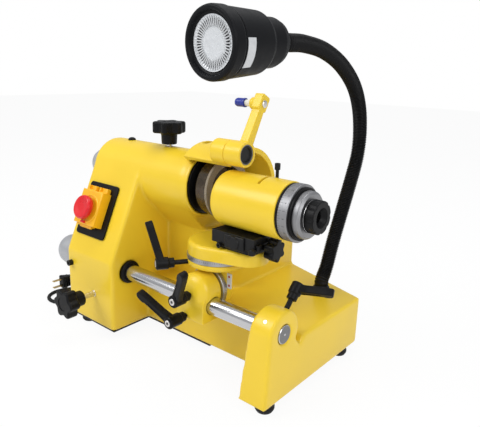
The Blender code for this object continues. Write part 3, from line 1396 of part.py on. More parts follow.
def make_lamp_head(rear, axis, length):
    front = length - LAMP_BEZEL_T - SEAT_GAP
    wall = LAMP_WALL
    tail = LAMP_TAIL_LENGTH
    body = turned(
        [
            (0, NECK_BORE_R), (0, 0.5 * LAMP_TAIL_R),
            (0.15 * tail, 0.74 * LAMP_TAIL_R), (0.35 * tail, 0.9 * LAMP_TAIL_R),
            (0.6 * tail, LAMP_TAIL_R), (tail, LAMP_TAIL_R),
            (1.2 * tail, 0.88 * LAMP_BODY_R), (1.3 * tail, 0.92 * LAMP_BODY_R),
            (front, LAMP_BODY_R), (front, LAMP_BODY_R - wall), (1.35 * tail, 0.9 * LAMP_BODY_R - wall),
            (1.1 * tail, LAMP_TAIL_R - wall), (0.6 * tail, LAMP_TAIL_R - wall), (0.3 * tail, NECK_BORE_R),
        ],
        rear, axis,
    )
    piece("lamp_body", body, BLACK_PLASTIC)
    lip = LENS_R + SEAT_GAP
    bezel = turned(
        [
            (0, lip), (0, 0.94 * LAMP_BEZEL_R), (0.2 * LAMP_BEZEL_T, LAMP_BEZEL_R),
            (0.8 * LAMP_BEZEL_T, LAMP_BEZEL_R),
            (LAMP_BEZEL_T, 0.95 * LAMP_BEZEL_R), (LAMP_BEZEL_T, lip),
        ],
        rear + axis * (front + SEAT_GAP), axis,
    )
    piece("lamp_bezel", bezel, BLACK_PLASTIC)
    lens_at = length - LENS_DEPTH - LENS_T
    lens = turned(
        [
            (0, 0), (0, 0.6 * LENS_R), (LENS_T, LENS_R), (LENS_T, 0.9 * LENS_R),
            (0.4 * LENS_T, 0.7 * LENS_R), (0.4 * LENS_T, 0),
        ],
        rear + axis * lens_at, axis,
    )
    piece("lamp_lens", lens, LENS)


def coil_points():
    """Loops that spiral in on the floor and out again one layer higher."""
    points = []
    per_turn = 24
    total = round(2 * COIL_TURNS * per_turn)
    half = total // 2
    lift = per_turn // 2
    for i in range(total + 1):
        inward = min(i, total - i) / per_turn
        climb = min(1.0, max(0.0, (i - half + lift / 2) / lift))
        angle = math.tau * i / per_turn
        radius = GLAND_X - COIL_X - COIL_STEP * inward
        height = CORD_R + SEAT_GAP + COIL_LAYER * climb
        points.append(
            Vector((COIL_X + radius * math.cos(angle), COIL_Y + radius * math.sin(angle), height)),
        )
    return points


def least_gap(points, radius):
    """Smallest clear space between loops that aren't neighbours along the tube."""
    best = 1.0
    for i, p in enumerate(points):
        for q in points[i + 12:]:
            best = min(best, (p - q).length - 2 * radius)
    return best


def make_cord():
    gland_at = Vector((GLAND_X, BODY_DEPTH + SEAT_GAP, GLAND_Z))
    bore = CORD_R + SEAT_GAP
    gland = turned(
        [
            (0, bore), (0, GLAND_R), (0.25 * GLAND_LENGTH, GLAND_R), (0.3 * GLAND_LENGTH, 0.75 * GLAND_R),
            (GLAND_LENGTH, 0.55 * GLAND_R), (GLAND_LENGTH, bore),
        ],
        gland_at, Y_AXIS, SMALL_ROUND,
    )
    piece("cord_gland", gland, RUBBER)
    coil = coil_points()
    heading_in = (coil[1] - coil[0]).normalized()
    heading_out = (coil[-1] - coil[-2]).normalized()
    coil = [coil[0] - heading_in * COIL_TAIL, *coil, coil[-1] + heading_out * COIL_TAIL]
    print("least gap in the coil, mm:", round(1000 * least_gap(coil, CORD_R), 2))
    tube_object("cord_coil", coil, [CORD_R] * len(coil), 1, RUBBER)
    mouth = gland_at + Y_AXIS * GLAND_LENGTH
    straight = 2 * CORD_R
    arrival = coil[0] - heading_in * straight
    route = [
        gland_at, *smooth_route([mouth, *LEAD_ROUTE, arrival], 4 * CORD_R), coil[0] - heading_in * SEAT_GAP,
    ]
    tube_object("cord_lead", route, [CORD_R] * len(route), 2, RUBBER)
    plug_back = Vector((PLUG_X, PLUG_BACK + SEAT_GAP, PLUG_HEIGHT / 2))
    leaving = coil[-1] + heading_out * straight
    entry = plug_back + Y_AXIS * straight
    route = [
        coil[-1] + heading_out * SEAT_GAP, *smooth_route([leaving, *PLUG_ROUTE, entry], 6 * CORD_R), plug_back,
    ]
    tube_object("cord_tail", route, [CORD_R] * len(route), 2, RUBBER)
    make_plug()


def make_plug():
    """A two-blade plug on its narrow side, blades to the front."""
    centre = Vector((PLUG_X, 0, PLUG_HEIGHT / 2))
    front = PLUG_BACK - PLUG_LENGTH
    half = PLUG_WIDTH / 2
    grip = rounded(
        [
            (PLUG_X - half, 0), (PLUG_X + half, 0),
            (PLUG_X + half, PLUG_HEIGHT), (PLUG_X - half, PLUG_HEIGHT),
        ],
        half / 2, 3,
    )
    body = prism(grip, "Y", front, PLUG_BACK)
    for vert in body.verts:
        if vert.co.y > PLUG_BACK - SEAT_GAP:
            vert.co.x = PLUG_X + 0.55 * (vert.co.x - PLUG_X)
            vert.co.z = centre.z + 0.45 * (vert.co.z - centre.z)
    plug = piece("mains_plug", outward(body), BLACK_PLASTIC)
    for side in (-1, 1):
        z = centre.z + side * BLADE_PITCH / 2
        join(
            plug,
            block(
                (PLUG_X - BLADE_HEIGHT / 2, front - BLADE_LENGTH, z - BLADE_WIDTH / 2),
                (PLUG_X + BLADE_HEIGHT / 2, front + BLADE_LENGTH / 4, z + BLADE_WIDTH / 2),
            ),
        )


def root_empty():
    """The machine frame, moved so that the world origin is under the middle."""
    found = bpy.data.objects.new("machine", None)
    found.location = (-ORIGIN_X, -ORIGIN_Y, 0)
    bpy.context.scene.collection.objects.link(found)
    return found


clear_scene()
ROOT = root_empty()
ENAMEL = finish_material("yellow_enamel", (0.80, 0.50, 0.03), 0.25, 0.0)
LID_YELLOW = finish_material("lid_yellow", (0.85, 0.35, 0.01), 0.35, 0.0)
BLACK_PLASTIC = finish_material("black_plastic", (0.015, 0.015, 0.016), 0.45, 0.0)
BLACK_STEEL = finish_material("black_steel", (0.02, 0.02, 0.02), 0.40, 0.6)
DARK_PAINT = finish_material("dark_paint", (0.06, 0.07, 0.08), 0.50, 0.0)
ALUMINIUM = finish_material("satin_aluminium", (0.62, 0.62, 0.63), 0.35, 1.0)
STEEL = finish_material("polished_steel", (0.75, 0.75, 0.76), 0.15, 1.0)
BRONZE = finish_material("bronze", (0.60, 0.40, 0.18), 0.35, 1.0)
ABRASIVE = finish_material("abrasive", (0.30, 0.26, 0.20), 0.90, 0.0)
RUBBER = finish_material("black_rubber", (0.02, 0.02, 0.02), 0.70, 0.0)
RED = finish_material("red_plastic", (0.60, 0.01, 0.02), 0.35, 0.0)
GREEN = finish_material("green_plastic", (0.02, 0.30, 0.08), 0.35, 0.0)
BLUE = finish_material("blue_plastic", (0.01, 0.03, 0.30), 0.35, 0.0)
IVORY = finish_material("ivory_plastic", (0.75, 0.72, 0.60), 0.45, 0.0)
LENS = finish_material("lamp_lens", (0.80, 0.82, 0.84), 0.20, 0.0)
make_casting()
make_feet()
make_bar()
make_spindle()
make_drive()
make_guard()
make_dresser()
make_bracket()
make_yoke()
make_swivel()
make_slide()
make_head()
make_levers()
make_lock_knobs()
make_switch()
make_lamp()
make_cord()
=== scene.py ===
"""A bench grinder for drill bits and cutters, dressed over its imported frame."""

import json
import math

import bmesh
import bpy
from mathutils import Matrix, Vector


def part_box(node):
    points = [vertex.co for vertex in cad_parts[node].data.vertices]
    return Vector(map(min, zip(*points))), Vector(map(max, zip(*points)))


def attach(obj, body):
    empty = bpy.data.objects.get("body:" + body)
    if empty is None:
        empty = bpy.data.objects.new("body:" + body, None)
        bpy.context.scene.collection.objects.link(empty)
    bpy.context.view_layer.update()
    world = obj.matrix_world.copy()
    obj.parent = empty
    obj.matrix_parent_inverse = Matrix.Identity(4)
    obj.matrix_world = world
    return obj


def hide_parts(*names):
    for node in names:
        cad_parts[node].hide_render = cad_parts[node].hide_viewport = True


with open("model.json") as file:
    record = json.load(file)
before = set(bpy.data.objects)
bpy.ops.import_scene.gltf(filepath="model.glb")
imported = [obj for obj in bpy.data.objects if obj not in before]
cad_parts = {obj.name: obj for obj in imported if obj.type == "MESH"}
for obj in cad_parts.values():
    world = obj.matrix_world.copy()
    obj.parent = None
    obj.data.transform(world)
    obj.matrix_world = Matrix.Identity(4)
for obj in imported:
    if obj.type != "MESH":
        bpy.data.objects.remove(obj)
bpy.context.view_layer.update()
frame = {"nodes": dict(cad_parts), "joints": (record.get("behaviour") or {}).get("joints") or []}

bl_info = {
    "name": "Bench tool grinder",
    "version": (1, 0, 0),
    "blender": (4, 5, 0),
    "location": "View3D > Sidebar > Grinder",
    "description": "Dresses the grinder's frame with castings, turned pieces, levers, lamp and lead",
    "category": "Object",
}

# Shapes are drawn in millimetres from the casting's front left corner and placed by one matrix.
MACHINE = Matrix.Translation((-0.2020, -0.1280, 0.0)) @ Matrix.Scale(0.001, 4)
X_AXIS = Vector((1, 0, 0))
Y_AXIS = Vector((0, 1, 0))
Z_AXIS = Vector((0, 0, 1))

# Centres of the wheel spindle and the guide bar, as (y, z), and sizes that several pieces share.
SPINDLE = (109.0, 250.0)
SPINDLE_BORE_R = 12.4
BAR = (34.1, 105.0)
BAR_R = 12.5
BAR_BORE_R = 12.9
BARREL_R = 48.6
CASTING_Z = 12.6
CASTING_RIGHT = 419.0
CASTING_BACK = 287.0
BEND_Z = 124.0


def color_setting(name, description, default):
    return bpy.props.FloatVectorProperty(
        name=name, description=description, subtype="COLOR", default=default, min=0, max=1
    )


class GrinderLooks(bpy.types.PropertyGroup):
    """Colours and sizes of the grinder's dressing"""

    enamel: color_setting("Enamel", "Colour of the castings", (0.80, 0.555, 0.028))
    lid: color_setting("Switch lid", "Colour of the switch lid", (0.88, 0.45, 0.006))
    black: color_setting("Black", "Colour of levers, knobs and lamp", (0.0045, 0.0045, 0.005))
    stop: color_setting("Stop button", "Colour of the stop button", (0.66, 0.006, 0.012))
    cast_grain: bpy.props.FloatProperty(
        name="Casting mesh", description="Mesh size of the large casting", unit="LENGTH",
        default=0.0022, min=0.001, max=0.01,
    )
    neck_ribs: bpy.props.IntProperty(
        name="Neck ribs", description="Ribs along the gooseneck", default=210, min=40, max=400
    )
    round_steps: bpy.props.IntProperty(
        name="Round steps", description="Steps round a turned piece", default=72, min=24, max=128
    )


def looks():
    return bpy.context.scene.grinder_looks


def arc(u, v, radius, start, end, steps):
    """Points along an arc in a plane, between two angles in degrees."""
    turn = [math.radians(start + (end - start) * i / steps) for i in range(steps + 1)]
    return [(u + radius * math.cos(a), v + radius * math.sin(a)) for a in turn]


def eased(points, radius, steps=3):
    """A line of points whose inner corners are rounded."""
    done = [points[0]]
    for a, b, c in zip(points, points[1:], points[2:]):
        here = Vector(b)
        back = Vector(a) - here
        ahead = Vector(c) - here
        if back.length < 1e-6 or ahead.length < 1e-6:
            done.append(b)
            continue
        reach = min(radius, 0.45 * back.length, 0.45 * ahead.length)
        first = here + back.normalized() * reach
        last = here + ahead.normalized() * reach
        for k in range(steps + 1):
            t = k / steps
            done.append(tuple(first * (1 - t) ** 2 + here * 2 * t * (1 - t) + last * t * t))
    done.append(points[-1])
    return done


def round_corners(corners, radius, steps=4):
    """A closed outline with rounded corners."""
    ring = [corners[-1], *corners, corners[0]]
    return eased(ring, radius, steps)[1:-1]


def tidy(bm):
    """Welds seams and points every face outwards."""
    bmesh.ops.remove_doubles(bm, verts=bm.verts, dist=1e-4)
    bmesh.ops.recalc_face_normals(bm, faces=bm.faces)
    if bm.calc_volume(signed=True) < 0:
        bmesh.ops.reverse_faces(bm, faces=bm.faces)
    return bm


def turned_by(bm, matrix):
    bmesh.ops.transform(bm, matrix=matrix, verts=bm.verts)
    return bm


def moved(bm, base, axis):
    """Turns a shape drawn along Z to an axis and sets it on a point."""
    turn = Z_AXIS.rotation_difference(Vector(axis).normalized()).to_matrix().to_4x4()
    return turned_by(bm, Matrix.Translation(base) @ turn)


def stood(base, along, across, above):
    """The matrix that sets X, Y and Z along three directions, from a base point."""
    return Matrix.Translation(base) @ Matrix((along, across, above)).transposed().to_4x4()


def band(low, high, inner, outer):
    """A ring's profile for lathe()."""
    return [(low, inner), (low, outer), (high, outer), (high, inner)]


def lathe(profile, base, axis, steps=None, ease=0.0):
    """Turns (height, radius) points about an axis through base."""
    bm = bmesh.new()
    if ease:
        profile = eased(profile if profile[0][1] == 0 else [*profile, profile[0]], ease)
    ringed = profile[0][1] > 0
    verts = [bm.verts.new((radius, 0, height)) for height, radius in profile]
    pairs = list(zip(verts, verts[1:]))
    if ringed:
        pairs.append((verts[-1], verts[0]))
    edges = [bm.edges.new(pair) for pair in pairs if (pair[0].co - pair[1].co).length > 1e-6]
    count = steps or looks().round_steps
    bmesh.ops.spin(
        bm, geom=verts + edges, cent=(0, 0, 0), axis=(0, 0, 1), angle=math.tau, steps=count, use_merge=True
    )
    return moved(tidy(bm), base, axis)


def rod(base, axis, length, radius, steps=None):
    return lathe(band(0, length, 0, radius), base, axis, steps)


def slab(outline, axis, low, high):
    """Draws an outline out along an axis: outlines are (y, z), (x, z) or (x, y)."""
    place = {
        "X": lambda u, v, w: (w, u, v),
        "Y": lambda u, v, w: (u, w, v),
        "Z": lambda u, v, w: (u, v, w),
    }[axis]
    bm = bmesh.new()
    face = bm.faces.new([bm.verts.new(place(u, v, low)) for u, v in outline])
    grown = bmesh.ops.extrude_face_region(bm, geom=[face])["geom"]
    shift = Vector(place(0, 0, high - low))
    bmesh.ops.translate(bm, vec=shift, verts=[g for g in grown if isinstance(g, bmesh.types.BMVert)])
    return tidy(bm)


def block(low, high):
    bm = bmesh.new()
    bmesh.ops.create_cube(bm, size=1)
    low, high = Vector(low), Vector(high)
    size = Matrix.Diagonal((*(high - low), 1))
    return turned_by(bm, Matrix.Translation((low + high) / 2) @ size)


def soft(bm, width, segments=2, limit=25.0, test=None):
    """Bevels the edges that are sharper than a limit."""
    sharp = math.radians(limit)
    edges = [
        e for e in bm.edges
        if e.is_manifold and e.calc_face_angle(0) > sharp and (test is None or test(e.verts[0].co, e.verts[1].co))
    ]
    bmesh.ops.bevel(
        bm, geom=edges, offset=width, offset_type="OFFSET", segments=segments, profile=0.5, affect="EDGES",
        clamp_overlap=True, material=-1,
    )
    return bm


def meshed(bm, name):
    mesh = bpy.data.meshes.new(name)
    bm.to_mesh(mesh)
    bm.free()
    return mesh


def placed(name, data):
    made = bpy.data.objects.new(name, data)
    bpy.context.scene.collection.objects.link(made)
    return made


def discard(made):
    """Removes a scratch object with its mesh or curve."""
    data = made.data
    owner = bpy.data.meshes if isinstance(data, bpy.types.Mesh) else bpy.data.curves
    bpy.data.objects.remove(made)
    owner.remove(data)


def gathered(*shapes):
    """One bmesh that holds several closed shapes."""
    whole = bmesh.new()
    for shape in shapes:
        mesh = meshed(shape, "part")
        whole.from_mesh(mesh)
        bpy.data.meshes.remove(mesh)
    return whole


def copied(node):
    """A welded copy of a frame node, in machine millimetres."""
    bm = bmesh.new()
    bm.from_mesh(frame["nodes"][node].data)
    turned_by(bm, MACHINE.inverted())
    bmesh.ops.remove_doubles(bm, verts=bm.verts, dist=1e-3)
    bmesh.ops.dissolve_limit(bm, angle_limit=math.radians(1), verts=bm.verts, edges=bm.edges)
    return bm


def limits(node):
    """A frame node's lowest and highest corners, in machine millimetres."""
    back = MACHINE.inverted()
    low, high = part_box(node)
    return back @ low, back @ high


def scratch(bm):
    return placed("scratch", meshed(bm, "scratch"))


def settled(made):
    """Takes a scratch object's evaluated mesh and removes the object."""
    bpy.context.view_layer.update()
    graph = bpy.context.evaluated_depsgraph_get()
    mesh = bpy.data.meshes.new_from_object(made.evaluated_get(graph))
    discard(made)
    bm = bmesh.new()
    bm.from_mesh(mesh)
    bpy.data.meshes.remove(mesh)
    return bm


def worked(bm, adds=(), cuts=()):
    """Joins shapes to a shape, then cuts others away."""
    made = scratch(bm)
    tools = []
    for operation, shapes in (("UNION", adds), ("DIFFERENCE", cuts)):
        for shape in shapes:
            tool = scratch(shape)
            step = made.modifiers.new("work", "BOOLEAN")
            step.operation = operation
            step.solver = "EXACT"
            step.object = tool
            tools.append(tool)
    done = settled(made)
    for tool in tools:
        discard(tool)
    return done


def cast(bm, grain, rounds):
    """Re-skins a shape evenly and rounds its edges and inner corners, as a casting's are."""
    made = scratch(bm)
    skin = made.modifiers.new("skin", "REMESH")
    skin.mode = "VOXEL"
    skin.voxel_size = grain
    ease = made.modifiers.new("ease", "SMOOTH")
    ease.factor = 0.5
    ease.iterations = rounds
    return settled(made)


FINISHES = {}


def finish(name):
    """The material of that name, made once."""
    if name not in FINISHES:
        FINISHES[name] = SURFACES[name](name)
    return FINISHES[name]


# Most of a noise texture's values lie in this span.
NOISE_SPAN = (0.3, 0.7)


def preset(made, values):
    for name, value in values.items():
        made.inputs[name].default_value = value
    return made


def node(tree, kind, values=None):
    """A shader node with some of its inputs set."""
    return preset(tree.nodes.new("ShaderNode" + kind), values or {})


def noise(tree, scale, detail, stretch=(1, 1, 1)):
    where = node(tree, "TexCoord")
    turn = node(tree, "Mapping", {"Scale": stretch})
    made = node(tree, "TexNoise", {"Scale": scale, "Detail": detail, "Roughness": 0.55})
    tree.links.new(where.outputs["Object"], turn.inputs["Vector"])
    tree.links.new(turn.outputs["Vector"], made.inputs["Vector"])
    return made.outputs["Fac"]


def ramp(tree, source, low, high):
    made = node(tree, "ValToRGB")
    for stop, position, color in zip(made.color_ramp.elements, NOISE_SPAN, (low, high)):
        stop.position = position
        stop.color = (*color, 1)
    tree.links.new(source, made.inputs["Fac"])
    return made.outputs["Color"]


def span(tree, source, low, high):
    start, stop = NOISE_SPAN
    made = node(tree, "MapRange", {"From Min": start, "From Max": stop, "To Min": low, "To Max": high})
    tree.links.new(source, made.inputs["Value"])
    return made.outputs["Result"]


def bumped(tree, shader, source, strength, distance):
    made = node(tree, "Bump", {"Strength": strength, "Distance": distance})
    tree.links.new(source, made.inputs["Height"])
    tree.links.new(made.outputs["Normal"], shader.inputs["Normal"])


def plain(name, metal=0.0, coat=0.0, coat_rough=0.1, shine=0.5):
    made = bpy.data.materials.new(name)
    made.use_nodes = True
    shader = made.node_tree.nodes["Principled BSDF"]
    preset(shader, {"Specular IOR Level": shine, "Metallic": metal})
    preset(shader, {"Coat Weight": coat, "Coat Roughness": coat_rough})
    return made, made.node_tree, shader


def seen_by(tree, *kinds):
    """One for a ray of these kinds and nought for others."""
    rays = node(tree, "LightPath")
    seen = rays.outputs[kinds[0]]
    for kind in kinds[1:]:
        more = node(tree, "Math")
        more.operation = "MAXIMUM"
        tree.links.new(seen, more.inputs[0])
        tree.links.new(rays.outputs[kind], more.inputs[1])
        seen = more.outputs[0]
    return seen


def mixed(tree, share, one, two, out):
    """Leads a mix of two shaders to an output node."""
    mix = node(tree, "MixShader")
    for source, target in zip((share, one.outputs[0], two.outputs[0]), mix.inputs):
        tree.links.new(source, target)
    tree.links.new(mix.outputs[0], out.inputs["Surface"])


def toned(color, step):
    return tuple(min(1.0, max(0.0, c * step)) for c in color)


def mottled(name, color, rough, metal=0.0, vary=0.06, grain=40.0, bump=0.0, bump_grain=600.0, stretch=(1, 1, 1),
            coat=0.0, coat_rough=0.1, depth=0.0004, shine=0.5):
    """A surface whose colour, gloss and relief vary a little."""
    made, tree, shader = plain(name, metal, coat, coat_rough, shine)
    cloud = noise(tree, grain, 4.0, stretch)
    tone = ramp(tree, cloud, toned(color, 1 - vary), toned(color, 1 + vary))
    tree.links.new(tone, shader.inputs["Base Color"])
    tree.links.new(span(tree, cloud, 0.85 * rough, 1.15 * rough), shader.inputs["Roughness"])
    if bump:
        bumped(tree, shader, noise(tree, bump_grain, 2.0, stretch), bump, depth)
    return made


def enamel(name):
    """Glossy paint with a faint orange peel."""
    return mottled(name, tuple(looks().enamel), 0.34, vary=0.03, grain=9.0, bump=0.05, bump_grain=260.0, coat=0.12,
                   coat_rough=0.14, shine=0.35)


def turned_metal(name, color, rough, lines, axis):
    """Metal with fine lines round a turned surface."""
    made, tree, shader = plain(name, 1.0)
    stretch = [8.0, 8.0, 8.0]
    stretch[axis] = lines
    streak = noise(tree, 1.0, 3.0, stretch)
    tree.links.new(ramp(tree, streak, toned(color, 0.86), toned(color, 1.08)), shader.inputs["Base Color"])
    tree.links.new(span(tree, streak, 0.8 * rough, 1.2 * rough), shader.inputs["Roughness"])
    bumped(tree, shader, streak, 0.10, 0.0002)
    return made


def grit(name):
    """Bonded abrasive with dark and light grains."""
    made, tree, shader = plain(name)
    grains = noise(tree, 1400.0, 2.0)
    tree.links.new(ramp(tree, grains, (0.10, 0.075, 0.05), (0.42, 0.36, 0.27)), shader.inputs["Base Color"])
    shader.inputs["Roughness"].default_value = 0.9
    bumped(tree, shader, grains, 0.6, 0.0004)
    return made


def moulded(name, tint=None, rough=0.42):
    color = tint or tuple(looks().black)
    return mottled(name, color, rough, vary=0.25, grain=60.0, bump=0.12, bump_grain=1500.0, depth=0.0002, shine=0.16)


def mottled_like(*values, **more):
    return lambda name: mottled(name, *values, **more)


SURFACES = {
    "yellow_enamel": enamel,
    "lid_yellow": lambda n: mottled(n, tuple(looks().lid), 0.36, vary=0.03, grain=25.0, bump=0.04, bump_grain=900.0),
    "black_plastic": moulded,
    "lamp_black": lambda n: moulded(n, (0.003, 0.0033, 0.0045), 0.5),
    "neck_black": lambda n: moulded(n, (0.006, 0.006, 0.0065), 0.45),
    "black_steel": lambda n: mottled(
        n, (0.006, 0.006, 0.0065), 0.4, vary=0.3, grain=90.0, bump=0.06, bump_grain=900.0, shine=0.25
    ),
    "dark_paint": mottled_like((0.05, 0.06, 0.07), 0.5, vary=0.1, bump=0.1),
    "satin_aluminium": lambda n: turned_metal(n, (0.33, 0.33, 0.34), 0.5, 2200.0, 0),
    "scale_aluminium": lambda n: turned_metal(n, (0.46, 0.46, 0.47), 0.44, 1800.0, 2),
    "grey_knob": mottled_like((0.40, 0.41, 0.43), 0.38, metal=0.35, vary=0.06, grain=30.0, bump=0.05),
    "bar_steel": mottled_like((0.56, 0.56, 0.57), 0.2, metal=1.0, vary=0.02, grain=6.0),
    "bar_end": mottled_like((0.22, 0.22, 0.225), 0.42, metal=1.0, vary=0.12, grain=260.0, bump=0.08),
    "polished_steel": lambda n: turned_metal(n, (0.80, 0.80, 0.81), 0.16, 900.0, 0),
    "bright_screw": mottled_like((0.72, 0.70, 0.68), 0.3, metal=1.0, vary=0.12, grain=300.0, bump=0.08),
    "brass": mottled_like((0.62, 0.44, 0.17), 0.3, metal=1.0, vary=0.1, grain=200.0),
    "bronze": mottled_like((0.45, 0.28, 0.11), 0.35, metal=1.0, vary=0.1, grain=90.0),
    "abrasive": grit,
    # The cup wheel's dark bronze body, darkened further as painted shade for the dim space inside the guard.
    "wheel_cone": mottled_like((0.050, 0.034, 0.018), 0.26, metal=0.4, vary=0.3, grain=90.0, bump=0.05),
    "black_rubber": lambda n: mottled(
        n, (0.007, 0.007, 0.007), 0.6, vary=0.25, grain=120.0, bump=0.15, bump_grain=1100.0, shine=0.25
    ),
    "red_plastic": lambda n: mottled(n, tuple(looks().stop), 0.30, vary=0.05, grain=40.0, bump=0.03,
        bump_grain=700.0),
    "green_plastic": mottled_like((0.02, 0.25, 0.06), 0.32, vary=0.05, bump=0.03),
    "blue_plastic": mottled_like((0.010, 0.025, 0.27), 0.30, vary=0.12, grain=160.0, bump=0.06, bump_grain=800.0),
    "ivory_plastic": mottled_like((0.70, 0.68, 0.60), 0.4, vary=0.06, grain=120.0, bump=0.05),
    "reflector": mottled_like((0.80, 0.82, 0.84), 0.22, metal=0.6, vary=0.05, grain=200.0, bump=0.1),
    "ink": mottled_like((0.02, 0.02, 0.022), 0.6, vary=0.2, grain=300.0),
    "red_ink": mottled_like((0.30, 0.015, 0.01), 0.5, vary=0.15, grain=300.0),
    "bare_plate": mottled_like((0.55, 0.56, 0.57), 0.35, vary=0.05, grain=200.0, bump=0.04),
}


def show(bm, name, surface, body, *nodes, sharp=32.0, weigh=True, metres=False):
    """Makes a finished piece that rides on a body and stands for frame nodes."""
    if not metres:
        turned_by(bm, MACHINE)
    mesh = meshed(bm, name)
    mesh.materials.clear()
    mesh.materials.append(finish(surface))
    mesh.polygons.foreach_set("use_smooth", [True] * len(mesh.polygons))
    mesh.polygons.foreach_set("material_index", [0] * len(mesh.polygons))
    mesh.set_sharp_from_angle(angle=math.radians(sharp))
    made = placed(name, mesh)
    if weigh:
        even = made.modifiers.new("even", "WEIGHTED_NORMAL")
        even.keep_sharp = True
    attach(made, body)
    if nodes:
        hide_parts(*nodes)
    return made


def show_cast(bm, grain, rounds, name, body, stands_for):
    """Shows a shape as an enamelled casting, with its mesh size in metres."""
    skin = cast(turned_by(bm, MACHINE), grain, rounds)
    return show(skin, name, "yellow_enamel", body, stands_for, sharp=60.0, metres=True)


def dress(surface, *nodes):
    """Gives frame nodes that keep their shape a finished material."""
    for node in nodes:
        mesh = frame["nodes"][node].data
        mesh.materials.clear()
        mesh.materials.append(finish(surface))


def socket_screw(base, axis, radius, height, hole=0.5):
    """A cap screw with a hexagon socket."""
    head = lathe([(0, 0), (0, radius), (height, radius), (height, 0)], base, axis, 32, 0.15 * radius)
    end = Vector(base) + Vector(axis).normalized() * (0.5 * height)
    hexagon = rod(end, axis, height, hole * radius, 6)
    return worked(head, cuts=[hexagon])


def smooth_route(points, step):
    """Points at even steps along a smooth curve through the given ones."""
    knots = [Vector(p) for p in points]
    knots = [2 * knots[0] - knots[1], *knots, 2 * knots[-1] - knots[-2]]
    fine = []
    for a, b, c, d in zip(knots, knots[1:], knots[2:], knots[3:]):
        for k in range(24):
            t = k / 24
            fine.append(
                0.5 * (2 * b + (c - a) * t + (2 * a - 5 * b + 4 * c - d) * t * t + (3 * b - a - 3 * c + d) * t**3)
            )
    fine.append(knots[-2])
    reach = [0.0]
    for p, q in zip(fine, fine[1:]):
        reach.append(reach[-1] + (q - p).length)
    count = max(2, round(reach[-1] / step))
    route = []
    at = 0
    for i in range(count + 1):
        want = reach[-1] * i / count
        while at < len(fine) - 2 and reach[at + 1] < want:
            at += 1
        part = max(reach[at + 1] - reach[at], 1e-9)
        route.append(fine[at].lerp(fine[at + 1], min(1, (want - reach[at]) / part)))
    return route


def tube(name, points, radii, resolution):
    """A curve with a round section, in metres, from points in machine millimetres."""
    curve = bpy.data.curves.new(name, "CURVE")
    curve.dimensions = "3D"
    curve.bevel_depth = 0.001
    curve.bevel_resolution = resolution
    curve.use_fill_caps = True
    spline = curve.splines.new("POLY")
    spline.points.add(len(points) - 1)
    for point, place, radius in zip(spline.points, points, radii):
        point.co = (*(MACHINE @ Vector(place)), 1)
        point.radius = radius
    spline.use_smooth = True
    return placed(name, curve)


def tick_marks(centre, axis, radius, low, high, count, every=5, width=0.35):
    """Short painted lines round a ring, longer at every few."""
    axis = Vector(axis)
    side = axis.orthogonal().normalized()
    marks = []
    for i in range(count):
        out = Matrix.Rotation(math.tau * i / count, 3, axis) @ side
        across = axis.cross(out)
        reach = high if i % every == 0 else low + 0.6 * (high - low)
        bar = block((-0.08, -width / 2, low), (0.06, width / 2, reach))
        stand = Matrix((out, across, axis)).transposed().to_4x4()
        marks.append(turned_by(bar, Matrix.Translation(Vector(centre) + out * radius) @ stand))
    return gathered(*marks)


def numeral(text, size, place):
    """A plain number, 0.1 mm thick, set by a matrix in machine millimetres."""
    curve = bpy.data.curves.new("number", "FONT")
    curve.body = text
    curve.size = size
    curve.align_x = "CENTER"
    curve.align_y = "CENTER"
    curve.extrude = 0.06
    curve.resolution_u = 3
    return turned_by(tidy(settled(placed("number", curve))), place)


